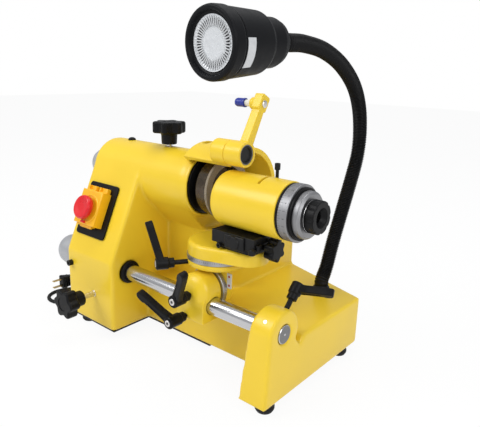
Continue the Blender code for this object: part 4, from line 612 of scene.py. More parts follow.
class GRINDER_OT_stage(bpy.types.Operator):
    """Pale floor, soft light and the camera"""

    bl_idname = "grinder.stage"
    bl_label = "Stage"

    def execute(self, context):
        bm = bmesh.new()
        bmesh.ops.create_grid(bm, x_segments=1, y_segments=1, size=6)
        mesh = meshed(bm, "floor")
        floor = placed("floor", mesh)
        floor.location.z = -0.0002
        mesh.materials.append(self.white_floor())
        self.sky(context.scene)
        for name, place, size, power in (
            ("key", (-0.9, -1.5, 1.7), 1.3, 25.5),
            ("side", (1.7, -0.7, 1.1), 1.1, 12.5),
            ("top", (0.1, 0.3, 2.0), 1.4, 13.0),
        ):
            lamp = bpy.data.lights.new(name, "AREA")
            lamp.shape = "DISK"
            lamp.size = size
            lamp.energy = power
            made = bpy.data.objects.new(name, lamp)
            made.location = place
            aim = Vector((0.05, 0.0, 0.18)) - Vector(place)
            made.rotation_euler = aim.to_track_quat("-Z", "Y").to_euler()
            context.scene.collection.objects.link(made)
        self.camera(context.scene)
        context.scene.view_settings.view_transform = "Standard"
        return {"FINISHED"}

    def white_floor(self):
        made = bpy.data.materials.new("white_floor")
        made.use_nodes = True
        tree = made.node_tree
        tree.nodes.clear()
        share = node(tree, "Math")
        share.operation = "MULTIPLY"
        share.inputs[1].default_value = 0.93
        seen = seen_by(tree, "Is Camera Ray", "Is Glossy Ray", "Is Transmission Ray")
        tree.links.new(seen, share.inputs[0])
        matt = node(tree, "BsdfDiffuse", {"Color": (0.88, 0.88, 0.88, 1)})
        glow = node(tree, "Emission", {"Color": (1, 1, 1, 1)})
        mixed(tree, share.outputs[0], matt, glow, node(tree, "OutputMaterial"))
        return made

    def sky(self, scene):
        world = bpy.data.worlds.new("studio")
        scene.world = world
        world.use_nodes = True
        tree = world.node_tree
        tree.nodes.clear()
        soft_sky = node(tree, "Background", {"Color": (0.95, 0.97, 1.0, 1), "Strength": 0.55})
        white = node(tree, "Background", {"Color": (1, 1, 1, 1), "Strength": 1.0})
        seen = seen_by(tree, "Is Camera Ray", "Is Transmission Ray")
        mixed(tree, seen, soft_sky, white, node(tree, "OutputWorld"))

    def camera(self, scene):
        yaw, pitch, roll = (math.radians(a) for a in (39.2547, 15.6357, 1.6625))
        ahead = Vector((-math.sin(yaw) * math.cos(pitch), math.cos(yaw) * math.cos(pitch), -math.sin(pitch)))
        right = Vector((math.cos(yaw), math.sin(yaw), 0))
        above = right.cross(ahead)
        level = Matrix((right, above, -ahead)).transposed()
        lens = bpy.data.cameras.new("camera")
        lens.sensor_fit = "HORIZONTAL"
        lens.sensor_width = 36
        lens.lens = 39.1503
        lens.clip_start = 0.01
        made = bpy.data.objects.new("camera", lens)
        tilt = level @ Matrix.Rotation(roll, 3, "Z")
        made.matrix_world = Matrix.Translation(MACHINE @ Vector((739.14, -452.37, 420.68))) @ tilt.to_4x4()
        scene.collection.objects.link(made)
        scene.camera = made


LEAD_ROUTE = ((104.0, 320.5, 27.4), (104.0, 332.0, 16.8), (104.0, 343.0, 6.3))
PLUG_ROUTE = (
    (20.0, 405.0, 9.5), (-8.0, 393.0, 5.0), (-29.0, 370.0, 3.5), (-40.0, 338.0, 3.4),
    (-42.0, 290.0, 3.4), (-38.0, 220.0, 3.4), (-36.0, 150.0, 3.4), (-36.5, 95.0, 3.4),
    (-40.0, 60.0, 3.4), (-43.0, 34.0, 3.4), (-46.7, 20.0, 3.4), (-56.8, 9.6, 3.4),
    (-70.7, 5.5, 3.4), (-84.8, 8.8, 3.4), (-95.5, 18.6, 3.4), (-100.0, 32.4, 3.4),
    (-97.1, 46.6, 3.4), (-83.8, 73.5, 3.4), (-70.2, 101.3, 3.4), (-57.0, 128.2, 3.5),
    (-54.0, 142.7, 4.1), (-58.6, 156.7, 5.2), (-69.5, 166.7, 6.7), (-83.8, 170.0, 8.3),
    (-98.0, 165.8, 9.9), (-108.3, 155.3, 11.3), (-112.0, 141.0, SPINDLE_BORE_R), (-112.0, 124.0, 13.0),
)
CORD_R = 3.3


class GRINDER_OT_mains_lead(bpy.types.Operator):
    """Mains lead with its gland, coil and plug"""

    bl_idname = "grinder.mains_lead"
    bl_label = "Mains lead"

    def execute(self, context):
        mouth = Vector((104.0, 309.3, 30.0))
        coil = self.coil()
        start = (coil[1] - coil[0]).normalized()
        stop = (coil[-1] - coil[-2]).normalized()
        coil = [coil[0] - start * 7.0, *coil, coil[-1] + stop * 7.0]
        lead = [Vector((104.0, 287.3, 30.0)), *smooth_route([mouth, *LEAD_ROUTE, coil[0] - start * 6.6], 6.6)]
        plug_end = Vector((-112.0, 90.3, 13.0))
        tail = [*smooth_route([coil[-1] + stop * 6.6, *PLUG_ROUTE, plug_end + Y_AXIS * 6.6], 8.0), plug_end]
        route = lead + coil + tail
        flex = tube("mains_flex", route, [CORD_R] * len(route), 5)
        flex.data.materials.append(finish("black_rubber"))
        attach(flex, "base")
        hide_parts("cord_lead", "cord_coil", "cord_tail")
        plug = self.plug()
        blades = self.blades()
        gland = lathe(
            [
                (0, 3.6), (0, 9.0), (4.5, 9.0), (5.5, 6.8), (8, 6.6), (9, 5.8), (11, 6.3), (12, 5.4),
                (14, 6.0), (15, 5.1),
                (17, 5.6), (18, 4.9), (22, 4.9), (22, 3.6),
            ],
            (104.0, 287.3, 30.0), Y_AXIS, 40, 0.4,
        )
        show(gland, "lead_gland", "black_rubber", "base", "cord_gland")
        return {"FINISHED"}

    def coil(self):
        """Loops that spiral in on the floor and out again one layer higher."""
        points = []
        total = 102
        for i in range(total + 1):
            inward = min(i, total - i) / 24
            climb = min(1.0, max(0.0, (i - 45) / 12))
            angle = math.tau * i / 24
            radius = 44.0 - 8.6 * inward
            points.append(Vector((60 + radius * math.cos(angle), 362 + radius * math.sin(angle), 3.6 + 7.8 * climb)))
        return points

    def plug(self):
        grip = slab([(-121, 0.0), (-103, 0.0), (-103, 26.0), (-121, 26.0)], "Y", 52.0, 90.0)
        for vert in grip.verts:
            if vert.co.y > 89:
                vert.co.x = -112 + 0.55 * (vert.co.x + 112)
                vert.co.z = 13 + 0.45 * (vert.co.z - 13)
        soft(grip, 3.5, 4)
        ridges = []
        for y in (60.0, 64.0, 68.0):
            ridges.append(soft(block((-121.4, y, 4.0), (-102.6, y + 1.8, 22.0)), 0.5, 2))
        return show(gathered(grip, *ridges), "plug_grip", "black_plastic", "base", "mains_plug")

    def blades(self):
        pins = []
        for z in (6.65, 19.35):
            pins.append(soft(block((-115.15, 35.0, z - 0.75), (-108.85, 56.0, z + 0.75)), 0.3, 2))
        return show(gathered(*pins), "plug_blades", "brass", "base")


LEAN = math.atan2(109.0, 126.0) - math.asin(BARREL_R / math.hypot(109.0, 126.0))
LEAN_LENGTH = math.sqrt(109.0**2 + 126.0**2 - BARREL_R**2)


class GRINDER_OT_casting(bpy.types.Operator):
    """Main casting with its column, barrel, slab and pillar, and what is screwed into it"""

    bl_idname = "grinder.casting"
    bl_label = "Casting"

    def execute(self, context):
        body = self.column()
        adds = [self.upper(), rod((200, *SPINDLE), X_AXIS, 19.0, 47.8, 96), self.box(), self.slab(), self.pillar()]
        cuts = [
            lathe([(-14, 0), (-14, 6.4), (14, 6.4), (14, 17.4), (123.8, 17.4), (123.8, 0)], (0, *BAR), X_AXIS),
            rod((360, *BAR), X_AXIS, 80, BAR_BORE_R),
            lathe(
                [(-14, 0), (-14, 6.4), (14, 6.4), (14, 28.4), (209, 28.4), (209, 44.0), (229, 44.0), (229, 0)],
                (0, *SPINDLE), X_AXIS,
            ),
        ]
        whole = worked(body, adds, cuts)
        show_cast(whole, looks().cast_grain, 10, "casting", "base", "main_casting")
        self.fittings()
        cover = soft(copied("bottom_cover"), 0.8, 2)
        show(cover, "base_cover", "black_steel", "base", "bottom_cover")
        for node in ("foot_front_left", "foot_front_right", "foot_back_left", "foot_back_right"):
            low, high = limits(node)
            middle = (low + high) / 2
            top = high.z
            foot = lathe(
                [(0, 0), (0, 10.6), (0.35 * top, 13.0), (0.62 * top, 13.0), (0.68 * top, 12.2), (top, 12.2),
                (top, 0)],
                (middle.x, middle.y, 0), Z_AXIS, 48, 0.8,
            )
            show(foot, node + "_rubber", "black_rubber", "base", node)
        return {"FINISHED"}

    def column(self):
        meet = (LEAN_LENGTH * math.sin(LEAN), BEND_Z + LEAN_LENGTH * math.cos(LEAN))
        outline = [(0, CASTING_Z), (0, BEND_Z), meet, SPINDLE, (143, 178), (143, CASTING_Z)]
        made = slab(outline, "X", 0, 118.8)
        return soft(made, 5.0, 3, test=lambda a, b: abs(a.x - b.x) < 0.1 and max(a.y, b.y) < 108)

    def upper(self):
        back = Vector((CASTING_BACK - SPINDLE[0], 200.0 - SPINDLE[1]))
        fall = math.degrees(math.atan2(back.y, back.x) + math.acos(BARREL_R / back.length))
        under = 250.0 - BARREL_R * math.sqrt(2) - 9.0
        curve = arc(*SPINDLE, BARREL_R + 0.05, 225, fall, 60)
        return slab([(118, CASTING_Z), (118, under), *curve, (CASTING_BACK, 200),
            (CASTING_BACK, CASTING_Z)], "X", 0, 205)

    def box(self):
        outline = [(59.4, 118), *arc(234, 143, 25, -90, 0, 16), (259, CASTING_BACK), (59.4, CASTING_BACK)]
        return slab(outline, "Z", CASTING_Z, 178)

    def slab(self):
        made = slab([(59.4, 71.8), (CASTING_RIGHT, 71.8), (CASTING_RIGHT, 234.5), (259, CASTING_BACK),
            (59.4, CASTING_BACK)], "Z", CASTING_Z, 87.4)
        return soft(made, 12.0, 5, test=lambda a, b: max(a.y, b.y) < 72 and min(a.z, b.z) > 80)

    def pillar(self):
        top = arc(*BAR, 31.0, 180, -30, 44)
        made = slab([(-1.9, CASTING_Z), *top, (71.1, 77), (95.8, 77), (95.8, CASTING_Z)], "X", 375.6, CASTING_RIGHT)
        for vert in made.verts:
            if vert.co.x < 376:
                vert.co.x += 12.0 * (vert.co.z - CASTING_Z) / (136 - CASTING_Z)
        return made

    def fittings(self):
        """Breather, cap screw and grub screws."""
        dome = lathe(
            [(0, 0), (0, 6.4), (1.6, 6.4), (3.4, 5.2), (4.6, 2.6), (5.0, 0)], (42.0, 109.0, 298.2), Z_AXIS, 40, 0.5
        )
        show(dome, "breather", "black_plastic", "base")
        stop = socket_screw((12.8, 0.6, 102.1), -Y_AXIS, 4.8, 8.0)
        show(stop, "front_screw", "black_steel", "base")
        spots = [((97.6, 0.35, 108.1), -Y_AXIS), ((404.0, 11.6, 126.0), Vector((0, -0.731, 0.682)))]
        grubs = [socket_screw(Vector(p) + Vector(n) * -2.2, n, 2.6, 2.4, 0.55) for p, n in spots]
        show(gathered(*grubs), "grub_screws", "bright_screw", "base")


# A domed knob's profile: millimetres along it and then shares of its length, each with a share of its radius.
DOME_FOOT = ((1, 0.8), (3, 0.93), (6.5, 0.97), (7.2, 0.94), (8.2, 0.94), (9, 0.985), (14, 1.0))
DOME_END = ((0.6, 1.0), (0.75, 0.95), (0.855, 0.84), (0.94, 0.62), (0.985, 0.32), (1.0, 0.0))


class GRINDER_OT_feed_knobs(bpy.types.Operator):
    """Domed feed knobs on the left"""

    bl_idname = "grinder.feed_knobs"
    bl_label = "Feed knobs"

    def execute(self, context):
        for node, (y, z), radius, long in (("bar_feed_knob", BAR, 26.5, 54.0),
            ("quill_feed_knob", SPINDLE, 25.5, 51.0)):
            profile = [(-20, 0), (-20, 6), (1, 6)]
            profile += [(along, share * radius) for along, share in DOME_FOOT]
            profile += [(part * long, share * radius) for part, share in DOME_END]
            show(lathe(profile, (0, y, z), -X_AXIS, 96, 0.7), node + "_dome", "grey_knob", node, node)
        return {"FINISHED"}


class GRINDER_OT_guide_bar(bpy.types.Operator):
    """Polished bar with its bush and feed sleeve"""

    bl_idname = "grinder.guide_bar"
    bl_label = "Guide bar"

    def execute(self, context):
        bar = lathe(
            [(0, 0), (0, 11.5), (1, BAR_R), (384, BAR_R), (384.8, 11.7), (384.8, 0)], (34, *BAR), X_AXIS, 96, 0.2
        )
        show(bar, "bar", "bar_steel", "guide_bar", "guide_bar")
        end = lathe([(384.0, 0), (384.0, 11.4), (385, 11.4), (385, 2.0), (384.2, 0)], (34, *BAR), X_AXIS, 72, 0.2)
        show(end, "bar_face", "bar_end", "guide_bar")
        bush = lathe(
            [(0, BAR_BORE_R), (0, 18.0), (3.2, 18.0), (4.2, 17.0), (5, 15.2), (5, BAR_BORE_R)],
            (119.1, *BAR), X_AXIS, 72, 0.4
        )
        show(bush, "bar_seal", "black_plastic", "base", "bar_bush")
        dress("bronze", "bar_feed_sleeve")
        return {"FINISHED"}


class GRINDER_OT_wheel(bpy.types.Operator):
    """Cup wheel with its flange, nut, spindle and quill"""

    bl_idname = "grinder.wheel"
    bl_label = "Grinding wheel"

    def execute(self, context):
        dress("polished_steel", "grinding_spindle")
        low, high = limits("grinding_wheel")
        width = high.x - low.x
        # The cup's colour holds painted shade for the inside of the guard, on top of its dark bronze.
        cup = lathe(
            [
                (0, SPINDLE_BORE_R), (0, 41.0), (width - 4, 44.6), (width - 4, 34.0), (9.6, 29.0),
                (9.0, 26.0), (9.0, SPINDLE_BORE_R),
            ],
            (low.x, *SPINDLE), X_AXIS, 96, 0.5,
        )
        show(cup, "cup_wheel", "wheel_cone", "wheel_spindle", "grinding_wheel")
        edge = lathe(
            [(width - 4.4, 34.0), (width - 4.4, 44.7), (width, 45.0), (width, 33.4)],
            (low.x, *SPINDLE), X_AXIS, 96, 0.4
        )
        show(edge, "wheel_edge", "abrasive", "wheel_spindle")
        low, high = limits("wheel_flange")
        depth = high.x - low.x
        flange = lathe(
            [(0, SPINDLE_BORE_R), (0, 26.0), (0.3 * depth, 30.0), (depth, 30.0), (depth, SPINDLE_BORE_R)],
            (low.x, *SPINDLE), X_AXIS, 72, 0.6
        )
        show(flange, "flange_disc", "black_steel", "wheel_spindle", "wheel_flange")
        nut = soft(copied("wheel_nut"), 0.6, 2)
        show(nut, "clamp_nut", "bright_screw", "wheel_spindle", "wheel_nut")
        low, high = limits("spindle_quill")
        quill = lathe(
            [(low.x, SPINDLE_BORE_R), (low.x, 28.0), (high.x - 4, 28.0), (high.x - 4, 43.0), (high.x, 43.0),
            (high.x, SPINDLE_BORE_R)],
            (0, *SPINDLE), X_AXIS, 72, 0.6,
        )
        show(quill, "quill_tube", "black_steel", "quill", "spindle_quill")
        return {"FINISHED"}


class GRINDER_OT_guard(bpy.types.Operator):
    """Wheel guard with the dresser's boss and its sight slot"""

    bl_idname = "grinder.guard"
    bl_label = "Wheel guard"

    def execute(self, context):
        front, back = 133.0, -15.0
        sector = arc(*SPINDLE, 65.0, back, front, 72) + arc(*SPINDLE, 48.1, front, back, 72)
        shell = slab(sector, "X", 209.5, 294.5)
        room = rod((214.5, *SPINDLE), X_AXIS, 400, 57.0, 96)
        shell = worked(shell, cuts=[room])
        boss = rod((270.5, 69.0, 312.2), X_AXIS, 24.3, 17.0, 64)
        hole = rod((276.5, 69.0, 312.2), X_AXIS, 40, 8.4, 32)
        slot = block((214.5, 97.0, 278), (224.5, 121.0, 350))
        made = worked(shell, [boss], [hole, slot])
        show_cast(made, 0.0011, 6, "guard", "base", "wheel_guard")
        return {"FINISHED"}


DRESSER = Vector((294.5, 69.0, 312.2))


class GRINDER_OT_dresser(bpy.types.Operator):
    """Swinging dresser arm with its pin, ferrule, cap and screw"""

    bl_idname = "grinder.dresser"
    bl_label = "Wheel dresser"

    def execute(self, context):
        hub = DRESSER + X_AXIS * 0.7
        lean = math.radians(28.0)
        up = Vector((0, math.sin(lean), math.cos(lean)))
        end = hub.x + 27.0
        outline = [(-7.0, 0), (7.0, 0), (5.25, 62.0)]
        outline += round_corners([(8.5, 62.0), (8.5, 83.5), (-8.5, 83.5), (-8.5, 62.0)], 3.0, 5)
        outline += [(-5.25, 62.0)]
        stand = Matrix.Translation((0, hub.y, hub.z)) @ Matrix.Rotation(-lean, 4, "X")
        plate = turned_by(slab(outline, "X", end - 14.0, end - 1.0), stand)
        tip = hub + up * 71.5
        tip.x = end + 1.0 - 22.7
        boss = lathe([(0, 0), (0, 6.6), (1.9, 8.2), (14.0, 8.2), (14.0, 0)], tip, X_AXIS, 56, 1.0)
        room = lathe([(-18, 0), (-18, 8.4), (17.6, 8.4), (17.6, 13.4), (54, 13.4), (54, 0)], hub, X_AXIS)
        arm = worked(rod(hub, X_AXIS, 27.0, 17.0, 72), [plate, boss], [room])
        show_cast(arm, 0.0006, 6, "arm", "dresser", "dresser_arm")
        low, high = limits("dresser_pin")
        pin = lathe(
            [
                (low.x, 0), (low.x, 8.0), (high.x - 8, 8.0), (high.x - 8, 13.0), (high.x - 1, 13.0), (high.x, 12.0),
                (high.x, 9.4), (high.x - 1.6, 8.6), (high.x - 1.6, 0),
            ],
            (0, hub.y, hub.z), X_AXIS, 64, 0.4,
        )
        show(pin, "pivot_pin", "black_steel", "base", "dresser_pin")
        rim = lathe(
            [(high.x - 2, 11.6), (high.x - 2, 13.2), (high.x + 0.2, 13.2), (high.x + 0.2, 11.9)],
            (0, hub.y, hub.z), X_AXIS,
            64, 0.3,
        )
        show(rim, "pin_rim", "bar_end", "base")
        seat = tip.x - 0.3
        ferrule = lathe(
            [(0, 0), (0, 4.8), (6.6, 4.8), (7.2, 4.2), (9.5, 4.2), (9.5, 0)], (seat, tip.y, tip.z), -X_AXIS, 48, 0.3
        )
        show(ferrule, "ferrule", "ivory_plastic", "dresser", "dresser_ferrule")
        cap = lathe(
            [(0, 0), (0, 6.2), (3, 6.2), (3.5, 5.9), (13.5, 5.9), (15.8, 5.0), (16.8, 3.2), (17, 0)],
            (seat - 9.8, tip.y, tip.z), -X_AXIS, 48, 0.5,
        )
        show(cap, "tip_cap", "blue_plastic", "dresser", "dresser_cap")
        screw = lathe([(-2.6, 0), (-2.6, 5.0), (0.2, 5.0), (1.2, 3.6), (1.4, 0)],
            (end, tip.y, tip.z), X_AXIS, 40, 0.3)
        show(screw, "arm_screw", "bright_screw", "dresser")
        return {"FINISHED"}


TILT = (273.5, 120.0)


class GRINDER_OT_carriage(bpy.types.Operator):
    """Bracket that clamps the bar, the tilt scale and the tilting yoke"""

    bl_idname = "grinder.carriage"
    bl_label = "Carriage"

    def execute(self, context):
        hub = lathe(
            [(14, 0), (14, 14.0), (16.3, 21.0), (21.0, 26.2), (25.2, 28.0), (49, 28.0), (49, 0)],
            (TILT[0], 0, TILT[1]), Y_AXIS, 72, 3.0,
        )
        outline = [(14.1, 82.0), (48.1, 82.0), *arc(*BAR, 20.0, 45.6, 180, 24)]
        clamp = slab(outline, "X", 248.5, 298.5)
        cuts = [
            rod((200, *BAR), X_AXIS, 150, BAR_BORE_R, 72),
            rod((TILT[0], 46, TILT[1]), Y_AXIS, 6, 8.3, 32),
        ]
        bracket = worked(hub, [clamp], cuts)
        show_cast(bracket, 0.0009, 8, "bracket", "carriage", "carriage_bracket")
        scale = lathe(
            [(-2.7, 0), (-2.7, 8.0), (0.3, 8.0), (0.3, 30.0), (1.3, 31.0), (7.3, 31.0), (7.3, 8.0),
            (14.8, 8.0), (14.8, 0)],
            (TILT[0], 49, TILT[1]), Y_AXIS, 96, 0.25,
        )
        show(scale, "tilt_scale", "scale_aluminium", "carriage", "tilt_scale_ring")
        marks = tick_marks((TILT[0], 0, TILT[1]), Y_AXIS, 31.0, 52.0, 56.2, 72)
        show(marks, "tilt_marks", "ink", "carriage", weigh=False)
        self.yoke()
        self.pointer()
        return {"FINISHED"}

    def pointer(self):
        """Small index plate on the yoke, beside the tilt scale, with its two red marks."""
        plate = soft(block((304.0, 55.6, 126.0), (312.0, 57.2, 148.0)), 0.5, 2)
        show(plate, "tilt_pointer", "bare_plate", "tilt_yoke")
        foot = soft(block((296.0, 56.9, 128.0), (311.0, 59.5, 146.0)), 0.5, 2)
        show(foot, "pointer_foot", "yellow_enamel", "tilt_yoke")
        dots = [rod((308.2, 55.7, z), -Y_AXIS, 0.4, 1.7, 28) for z in (130.5, 143.5)]
        show(gathered(*dots), "pointer_dots", "red_ink", "tilt_yoke", weigh=False)

    def yoke(self):
        plate = slab(
            [*arc(*TILT, 29.5, 180, 360, 48), (303.0, 156.5), (244.0, 156.5)], "Y", 56.8, 70.8
        )
        shelf = lathe([(0, 0), (0, 42.0), (2, 45.0), (9, 45.0), (9, 0)], (TILT[0], 72, 152), Z_AXIS, 96, 1.5)
        rib = slab([(63.8, 156.5), (108.0, 156.5), (70.8, 120), (63.8, 120)], "X", 258.75, 288.25)
        inward = Vector((0.55, 0.835, 0)).normalized()
        seat = Vector((TILT[0], 72, 156.5)) - inward * 50.0
        boss = rod(seat, inward, 15, 4.0, 32)
        stub = rod((TILT[0], 72, 156.5), Z_AXIS, 20.65, 11.0, 40)
        holes = [rod((TILT[0], 49, TILT[1]), Y_AXIS, 15.2, 8.4, 32), rod(seat - inward * 7, inward, 14.4, 3.9, 24)]
        made = worked(plate, [shelf, rib, boss, stub], holes)
        show_cast(made, 0.0011, 5, "yoke", "tilt_yoke", "tilt_yoke")


class GRINDER_OT_swivel(bpy.types.Operator):
    """Swivel scale and the plate that turns on it"""

    bl_idname = "grinder.swivel"
    bl_label = "Swivel"

    def execute(self, context):
        low, high = limits("swivel_scale_ring")
        tall = high.z - low.z
        ring = lathe(
            [(0, 11.4), (0, 45.0), (tall, 45.0), (tall, 11.4)], (TILT[0], 72, low.z), Z_AXIS, 112, 0.4
        )
        show(ring, "swivel_scale", "scale_aluminium", "tilt_yoke", "swivel_scale_ring")
        marks = tick_marks((TILT[0], 72, 0), Z_AXIS, 45.0, low.z + 3.2, high.z - 0.4, 90)
        show(marks, "swivel_marks", "ink", "tilt_yoke", weigh=False)
        low, high = limits("swivel_plate")
        spread = math.degrees(math.acos((44.0 - 29.0) / 52.0))
        outline = arc(TILT[0], 72, 44.0, spread, 360 - spread, 64) + arc(TILT[0] + 52, 72, 29.0, -spread, spread, 40)
        plate = slab(outline, "Z", low.z, high.z)
        soft(plate, 6.0, 6, 60.0, lambda a, b: min(a.z, b.z) > high.z - 0.01)
        plate = worked(plate, cuts=[rod((TILT[0], 72, low.z - 10), Z_AXIS, 20.35, 11.4, 40)])
        show(plate, "turn_plate", "yellow_enamel", "swivel_plate", "swivel_plate", sharp=40.0)
        return {"FINISHED"}


class GRINDER_OT_slide(bpy.types.Operator):
    """Dovetail slide with its screws and feed knob"""

    bl_idname = "grinder.slide"
    bl_label = "Cross slide"

    def execute(self, context):
        show(soft(copied("slide_base"), 0.5, 2, 40.0), "dovetail", "black_steel", "swivel_plate", "slide_base")
        show(soft(copied("cross_slide"), 0.8, 3, 20.0), "top_slide", "black_steel", "work_head", "cross_slide")
        low, high = limits("cross_slide")
        boss = lathe([(0, 0), (0, 9.5), (3.5, 9.5), (5.0, 8.4), (5.4, 0)],
            (low.x + 40, low.y + 0.4, low.z + 6), -Y_AXIS, 48, 0.6)
        lug = soft(block((low.x + 24, low.y - 3.0, low.z - 3.0), (low.x + 57, low.y + 1.0, high.z - 1.0)), 2.5, 4)
        show(gathered(boss, lug), "gib_lock", "black_steel", "work_head")
        nub = socket_screw((low.x + 15.0, low.y + 0.4, low.z - 2.5), -Y_AXIS, 3.6, 4.2)
        show(nub, "gib_screw", "black_steel", "work_head")
        ball = lathe([(0, 0), (0, 2.0), (6, 2.0), (7.5, 4.2), (10.5, 5.0), (13.5, 4.2), (15.4, 0)],
                     (low.x + 73.0, low.y + 6.0, low.z + 2.0), -Y_AXIS, 40, 0.8)
        arm = soft(block((low.x + 66.0, low.y + 3.0, low.z + 0.5), (low.x + 76.0, low.y + 12.0, low.z + 9.0)), 1.2, 3)
        show(gathered(ball, arm), "slide_stop", "black_steel", "work_head")
        low, high = limits("slide_feed_knob")
        centre = Vector((0, 72.0, (low.z + high.z) / 2))
        face = high.x - 15.0 - 1.0
        shape = star_shape(15.6, 15.0, 6, 0.11)
        bmesh.ops.translate(shape, vec=(0, 0, 1.0), verts=shape.verts)
        knob = moved(shape, (face, centre.y, centre.z), X_AXIS)
        stud = rod((low.x, centre.y, centre.z), X_AXIS, face - low.x + 4, 3.5, 24)
        show(worked(knob, [stud]), "feed_star", "black_plastic", "slide_feed_knob", "slide_feed_knob")
        return {"FINISHED"}


def star_shape(radius, thick, lobes, depth):
    """A lobed knob's head along Z, with soft rims."""
    count = lobes * 14
    outline = []
    for i in range(count):
        angle = math.tau * i / count
        wave = math.cos(lobes * angle)
        reach = radius * (1 - depth + depth * (wave if wave > 0 else 1.25 * wave))
        outline.append((reach * math.cos(angle), reach * math.sin(angle)))
    made = slab(outline, "Z", 0, thick)
    rim = min(0.18 * thick, 0.12 * radius)
    return soft(made, rim, 4, 60.0)


HEAD = (72.0, 250.4)
HEAD_R = 37.7


class GRINDER_OT_work_head(bpy.types.Operator):
    """Head barrel with its clamp slit, screw and gasket"""

    bl_idname = "grinder.work_head"
    bl_label = "Work head"

    def execute(self, context):
        low, high = limits("head_body")
        left, right = low.x, high.x
        shell = lathe(
            [(left, 21.0), (left, 33.2), (left + 1.2, 36.0), (left + 4.6, HEAD_R), (right - 0.8, HEAD_R),
            (right, 37.0), (right, 21.0)],
            (0, *HEAD), X_AXIS, 128, 1.2,
        )
        slit = right - 40.0
        cuts = [
            block((left - 20, 20, 100), (right + 20, 130, low.z)),
            block((slit, 52, HEAD[1] + 0.62 * HEAD_R), (slit + 4.2, 130, 330)),
            rod((slit + 10.4, 72 + HEAD_R / 3, HEAD[1] + 0.8 * HEAD_R), Z_AXIS, 30, 4.7, 32),
        ]
        show(worked(shell, cuts=cuts), "head_shell", "yellow_enamel", "work_head", "head_body", sharp=40.0)
        low, high = limits("head_clamp_screw")
        middle = (low + high) / 2
        base = (middle.x, middle.y, low.z)
        shank = rod(base, Z_AXIS, 16.5, 2.2, 24)
        cap = socket_screw((middle.x, middle.y, low.z + 15.6), Z_AXIS, 3.7, high.z - low.z - 15.6)
        show(worked(shank, [cap]), "clamp_screw", "black_steel", "work_head", "head_clamp_screw")
        low, high = limits("head_gasket")
        seal = lathe(
            [(low.x, 21.0), (low.x, 36.2), (high.x, 36.2), (high.x, 21.0)], (0, *HEAD), X_AXIS, 96, 0.5
        )
        show(seal, "head_seal", "black_plastic", "work_head", "head_gasket")
        return {"FINISHED"}


class GRINDER_OT_index(bpy.types.Operator):
    """Index ring with its scale, collet spindle, draw ring and draw knob"""

    bl_idname = "grinder.index"
    bl_label = "Index spindle"

    def execute(self, context):
        low, high = limits("index_ring")
        left = low.x
        ring = lathe(
            [
                (left, 20.8), (left, 35.9), (left + 0.8, 36.7), (left + 12.7, 36.7), (left + 13.5, 35.9),
                (left + 13.5, 32.6),
                (left + 14.1, 32.0), (left + 16.5, 32.0), (left + 16.5, 20.8),
            ],
            (0, *HEAD), X_AXIS, 128, 0.3,
        )
        show(ring, "index_dial", "satin_aluminium", "index_spindle", "index_ring")
        marks = [tick_marks((0, *HEAD), X_AXIS, 36.7, left + 0.9, left + 5.4, 72, every=3)]
        for i in range(24):
            turn = Matrix.Rotation(math.radians(15 * i), 4, "X")
            stand = Matrix(((0, -1, 0, left + 9.2), (1, 0, 0, 0), (0, 0, 1, 36.68), (0, 0, 0, 1)))
            marks.append(numeral(str(i), 4.0, Matrix.Translation((0, *HEAD)) @ turn @ stand))
        show(gathered(*marks), "index_marks", "ink", "index_spindle", weigh=False)
        groove = lathe(
            [(left + 13.0, 21.0), (left + 13.0, 33.4), (left + 16.9, 33.4), (left + 16.9, 21.0)],
            (0, *HEAD), X_AXIS, 112, 0.2
        )
        show(groove, "ring_groove", "black_plastic", "index_spindle")
        low, high = limits("draw_ring")
        draw = lathe(
            [
                (low.x, 20.8), (low.x, 29.4), (low.x + 0.7, 30.0), (high.x - 3.4, 30.0), (high.x - 2.6, 29.6),
                (high.x, 27.0), (high.x, 20.8),
            ],
            (0, *HEAD), X_AXIS, 112, 0.3,
        )
        show(draw, "draw_collar", "satin_aluminium", "index_spindle", "draw_ring")
        low, high = limits("collet_spindle")
        tube_in = lathe(
            [(low.x, 8.0), (low.x, 17.5), (low.x + 3, 20.5), (high.x, 20.5), (high.x, 8.0)],
            (0, *HEAD), X_AXIS, 80, 0.4
        )
        show(tube_in, "collet_tube", "polished_steel", "index_spindle", "collet_spindle")
        low, high = limits("draw_knob")
        left, right = low.x, high.x
        outline = []
        for i in range(96):
            angle = math.tau * i / 96
            reach = 21.0 - 1.3 * max(0.0, math.cos(8 * angle)) ** 3
            outline.append((HEAD[0] + reach * math.cos(angle), HEAD[1] + reach * math.sin(angle)))
        grip = soft(slab(outline, "X", left, right), 1.4, 3, 60.0)
        bore = lathe(
            [(left - 5, 0), (left - 5, 8.0), (left + 6.5, 8.0), (right - 1.0, 12.6), (right + 4, 13.4),
            (right + 4, 0)],
            (0, *HEAD), X_AXIS, 64,
        )
        show(worked(grip, cuts=[bore]), "draw_grip", "black_plastic", "draw_knob", "draw_knob")
        return {"FINISHED"}


# A lever's blade and its dents: shares of the arm's length, each with a half width.
LEVER_OUTLINE = (
    (0.0, 7.4), (0.3, 5.3), (0.74, 5.0), (0.765, 6.4), (0.88, 6.5), (0.965, 4.6), (1.0, 2.0), (1.0, -2.0),
    (0.965, -4.4), (0.86, -5.2), (0.3, -5.3), (0.0, -7.4),
)
LEVER_DENT = ((0.18, 3.0), (0.66, 2.6), (0.66, -2.6), (0.18, -3.0))
